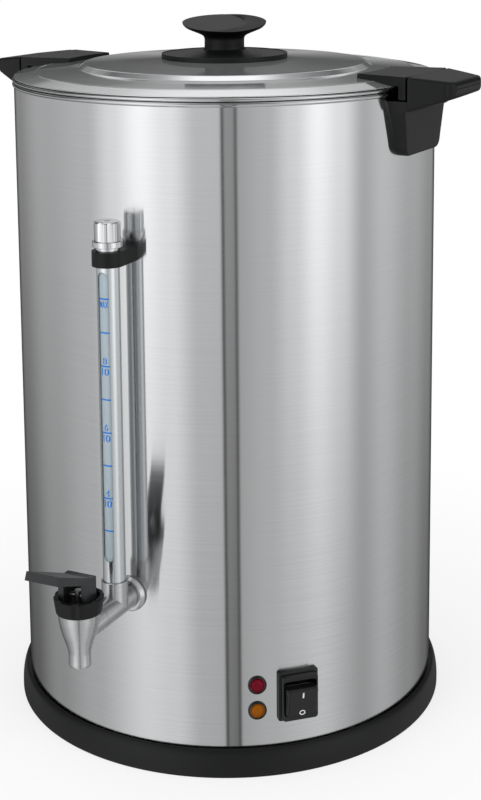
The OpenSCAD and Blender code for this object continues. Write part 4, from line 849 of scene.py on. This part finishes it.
# Light round the urn by its bearing: about level with the urn, below that and above it.
level = add(tree, "ValToRGB", {"Fac": round_it.outputs["Result"]}, bearings(
    (-166, 0.05), (-152, 0.3), (-115, 0.58), (-78, 0.7), (-62, 1.1), (-45, 1.55), (-30, 1.25), (-14, 0.78),
    (-1.9, 0.77), (-1.65, 0.04), (-0.35, 0.04), (-0.1, 0.44), (4.9, 0.42), (5.15, 0.1), (6.1, 0.1),
    (6.4, 0.55), (22, 0.68), (36, 1.05), (50, 1.52), (64, 1.2), (79, 0.64), (93, 0.8), (120, 0.6),
    (152, 0.38), (166, 0.05)))
below = add(tree, "ValToRGB", {"Fac": round_it.outputs["Result"]}, bearings(
    (-165, 0.04), (-142, 0.13), (-110, 0.36), (-80, 0.55), (-45, 0.92), (-30, 0.86), (-14, 0.6), (-1.9, 0.57),
    (-1.65, 0.03), (-0.35, 0.03), (-0.1, 0.27), (4.9, 0.22), (5.15, 0.05), (6.1, 0.05), (6.4, 0.52),
    (22, 0.6), (51, 0.72), (79, 0.45), (95, 0.56), (120, 0.36), (147, 0.17), (165, 0.04)))
above = add(tree, "ValToRGB", {"Fac": round_it.outputs["Result"]}, bearings(
    (-150, 0.4), (-90, 0.7), (-47, 1.0), (-18, 0.25), (20, 0.2), (51, 0.8), (90, 0.5), (150, 0.4)))
sink = add(tree, "MapRange", {"Value": axes.outputs["Z"], "From Min": -0.44, "From Max": -0.14})
walls = add(tree, "MixRGB", {"Fac": sink.outputs["Result"], "Color1": below.outputs["Color"],
                             "Color2": level.outputs["Color"]})
lift = add(tree, "MapRange", {"Value": axes.outputs["Z"], "From Min": 0.1, "From Max": 0.45})
before = add(tree, "MixRGB", {"Fac": lift.outputs["Result"], "Color1": walls.outputs["Color"],
                              "Color2": above.outputs["Color"]})
# Light behind the urn by its height, which the lid reflects. It dims to both sides.
behind = add(tree, "ValToRGB", {"Fac": axes.outputs["Z"]}, [
    (0, 0.7), (0.06, 0.22), (0.1, 0.05), (0.15, 0.06), (0.19, 0.1), (0.205, 0.12), (0.222, 0.07),
    (0.235, 0.24), (0.25, 0.38), (0.37, 0.58), (0.43, 1.1), (0.52, 0.95), (0.63, 0.1), (0.72, 0.4),
    (0.86, 0.7), (0.96, 1.45)])
toward = add(tree, "VectorMath", {0: place.outputs["Generated"], 1: to_camera}, operation="DOT_PRODUCT")
rear = add(tree, "MapRange", {"Value": toward.outputs["Value"], "From Min": 0.2, "From Max": -0.1})
raised = add(tree, "MapRange", {"Value": axes.outputs["Z"], "From Min": 0.0, "From Max": 0.03})
sideways = add(tree, "VectorMath", {0: place.outputs["Generated"], 1: to_side}, operation="DOT_PRODUCT")
aslant = add(tree, "Math", {0: sideways.outputs["Value"]}, operation="ABSOLUTE")
dim = add(tree, "MapRange", {"Value": aslant.outputs[0], "From Min": 0.16, "From Max": 0.42,
                             "To Min": 1.0, "To Max": 0.25})
sides = add(tree, "MixRGB", {"Fac": 1.0, "Color1": behind.outputs["Color"], "Color2": dim.outputs["Result"]},
            blend_type="MULTIPLY")
both = add(tree, "Math", {0: rear.outputs["Result"], 1: raised.outputs["Result"]}, operation="MULTIPLY")
studio = add(tree, "MixRGB", {"Fac": both.outputs[0], "Color1": before.outputs["Color"],
                              "Color2": sides.outputs["Color"]})
# Metal sees the studio, plain surfaces an even grey, and the camera white.
seen = add(tree, "LightPath")
mirrored = add(tree, "MixRGB", {"Fac": seen.outputs["Is Glossy Ray"], "Color1": (0.55, 0.55, 0.55, 1),
                                "Color2": studio.outputs["Color"]})
clear = add(tree, "Math", {0: seen.outputs["Is Camera Ray"], 1: seen.outputs["Is Transmission Ray"]},
            operation="MAXIMUM")
shown = add(tree, "MixRGB", {"Fac": clear.outputs[0], "Color1": mirrored.outputs["Color"],
                             "Color2": (1, 1, 1, 1)})
sky = add(tree, "Background", {"Color": shown.outputs["Color"], "Strength": 1.0})
add(tree, "OutputWorld", {"Surface": sky.outputs[0]})


def stand(holder, across, over, back, place):
    """Sets up a lamp or camera: the directions of its own three axes, and its place."""
    stance = np.eye(4)
    stance[:3] = np.stack([across, over, back, place], 1)
    holder.matrix_world = Matrix(stance.tolist())


def softbox(name, turn, distance, height, size, power):
    """Area lamp at a turn and distance from the urn, aimed at its middle. It shows in no reflection."""
    lamp = bpy.data.lights.new(name, "AREA")
    lamp.shape, lamp.size, lamp.energy = "DISK", size, power
    holder = placed(name, lamp)
    out, _, up = facing(turn)
    spot, urn_middle = out * distance + up * height, up * 0.25
    back = spot - urn_middle
    back /= np.linalg.norm(back)
    across = np.cross(up, back)
    across /= np.linalg.norm(across)
    stand(holder, across, np.cross(back, across), back, spot)
    holder.visible_camera = False
    holder.visible_glossy = False


softbox("left_softbox", camera_turn - 47, distance=1.6, height=1.3, size=1.2, power=14)
softbox("right_softbox", camera_turn + 47, distance=1.6, height=1.3, size=1.2, power=12)
softbox("top_softbox", camera_turn + 180, distance=0.4, height=1.9, size=1.4, power=5)


# Camera: at the photograph's height and angle. The lens is shifted down, which keeps the urn's sides
# nearly upright.
turn, yaw, tilt, roll = np.radians([26.4, -0.537, 9.19, -0.46])
distance, eye_height, sensor = 1.157, 0.58, 36
focal_pixels, picture_pixels = 1620.0, 800
eye = np.array([np.sin(turn) * distance, -np.cos(turn) * distance, eye_height])
ahead = np.array([-np.sin(turn + yaw) * np.cos(tilt), np.cos(turn + yaw) * np.cos(tilt), -np.sin(tilt)])
right = np.array([np.cos(turn + yaw), np.sin(turn + yaw), 0])
over = np.cross(right, ahead)
right, over = np.cos(roll) * right + np.sin(roll) * over, np.cos(roll) * over - np.sin(roll) * right
lens = bpy.data.cameras.new("camera")
lens.sensor_width = sensor
lens.lens = focal_pixels / picture_pixels * sensor
lens.shift_y = -0.30
camera = placed("camera", lens)
stand(camera, right, over, -ahead, eye)
bpy.context.scene.camera = camera
bpy.context.scene.view_settings.view_transform = "Standard"
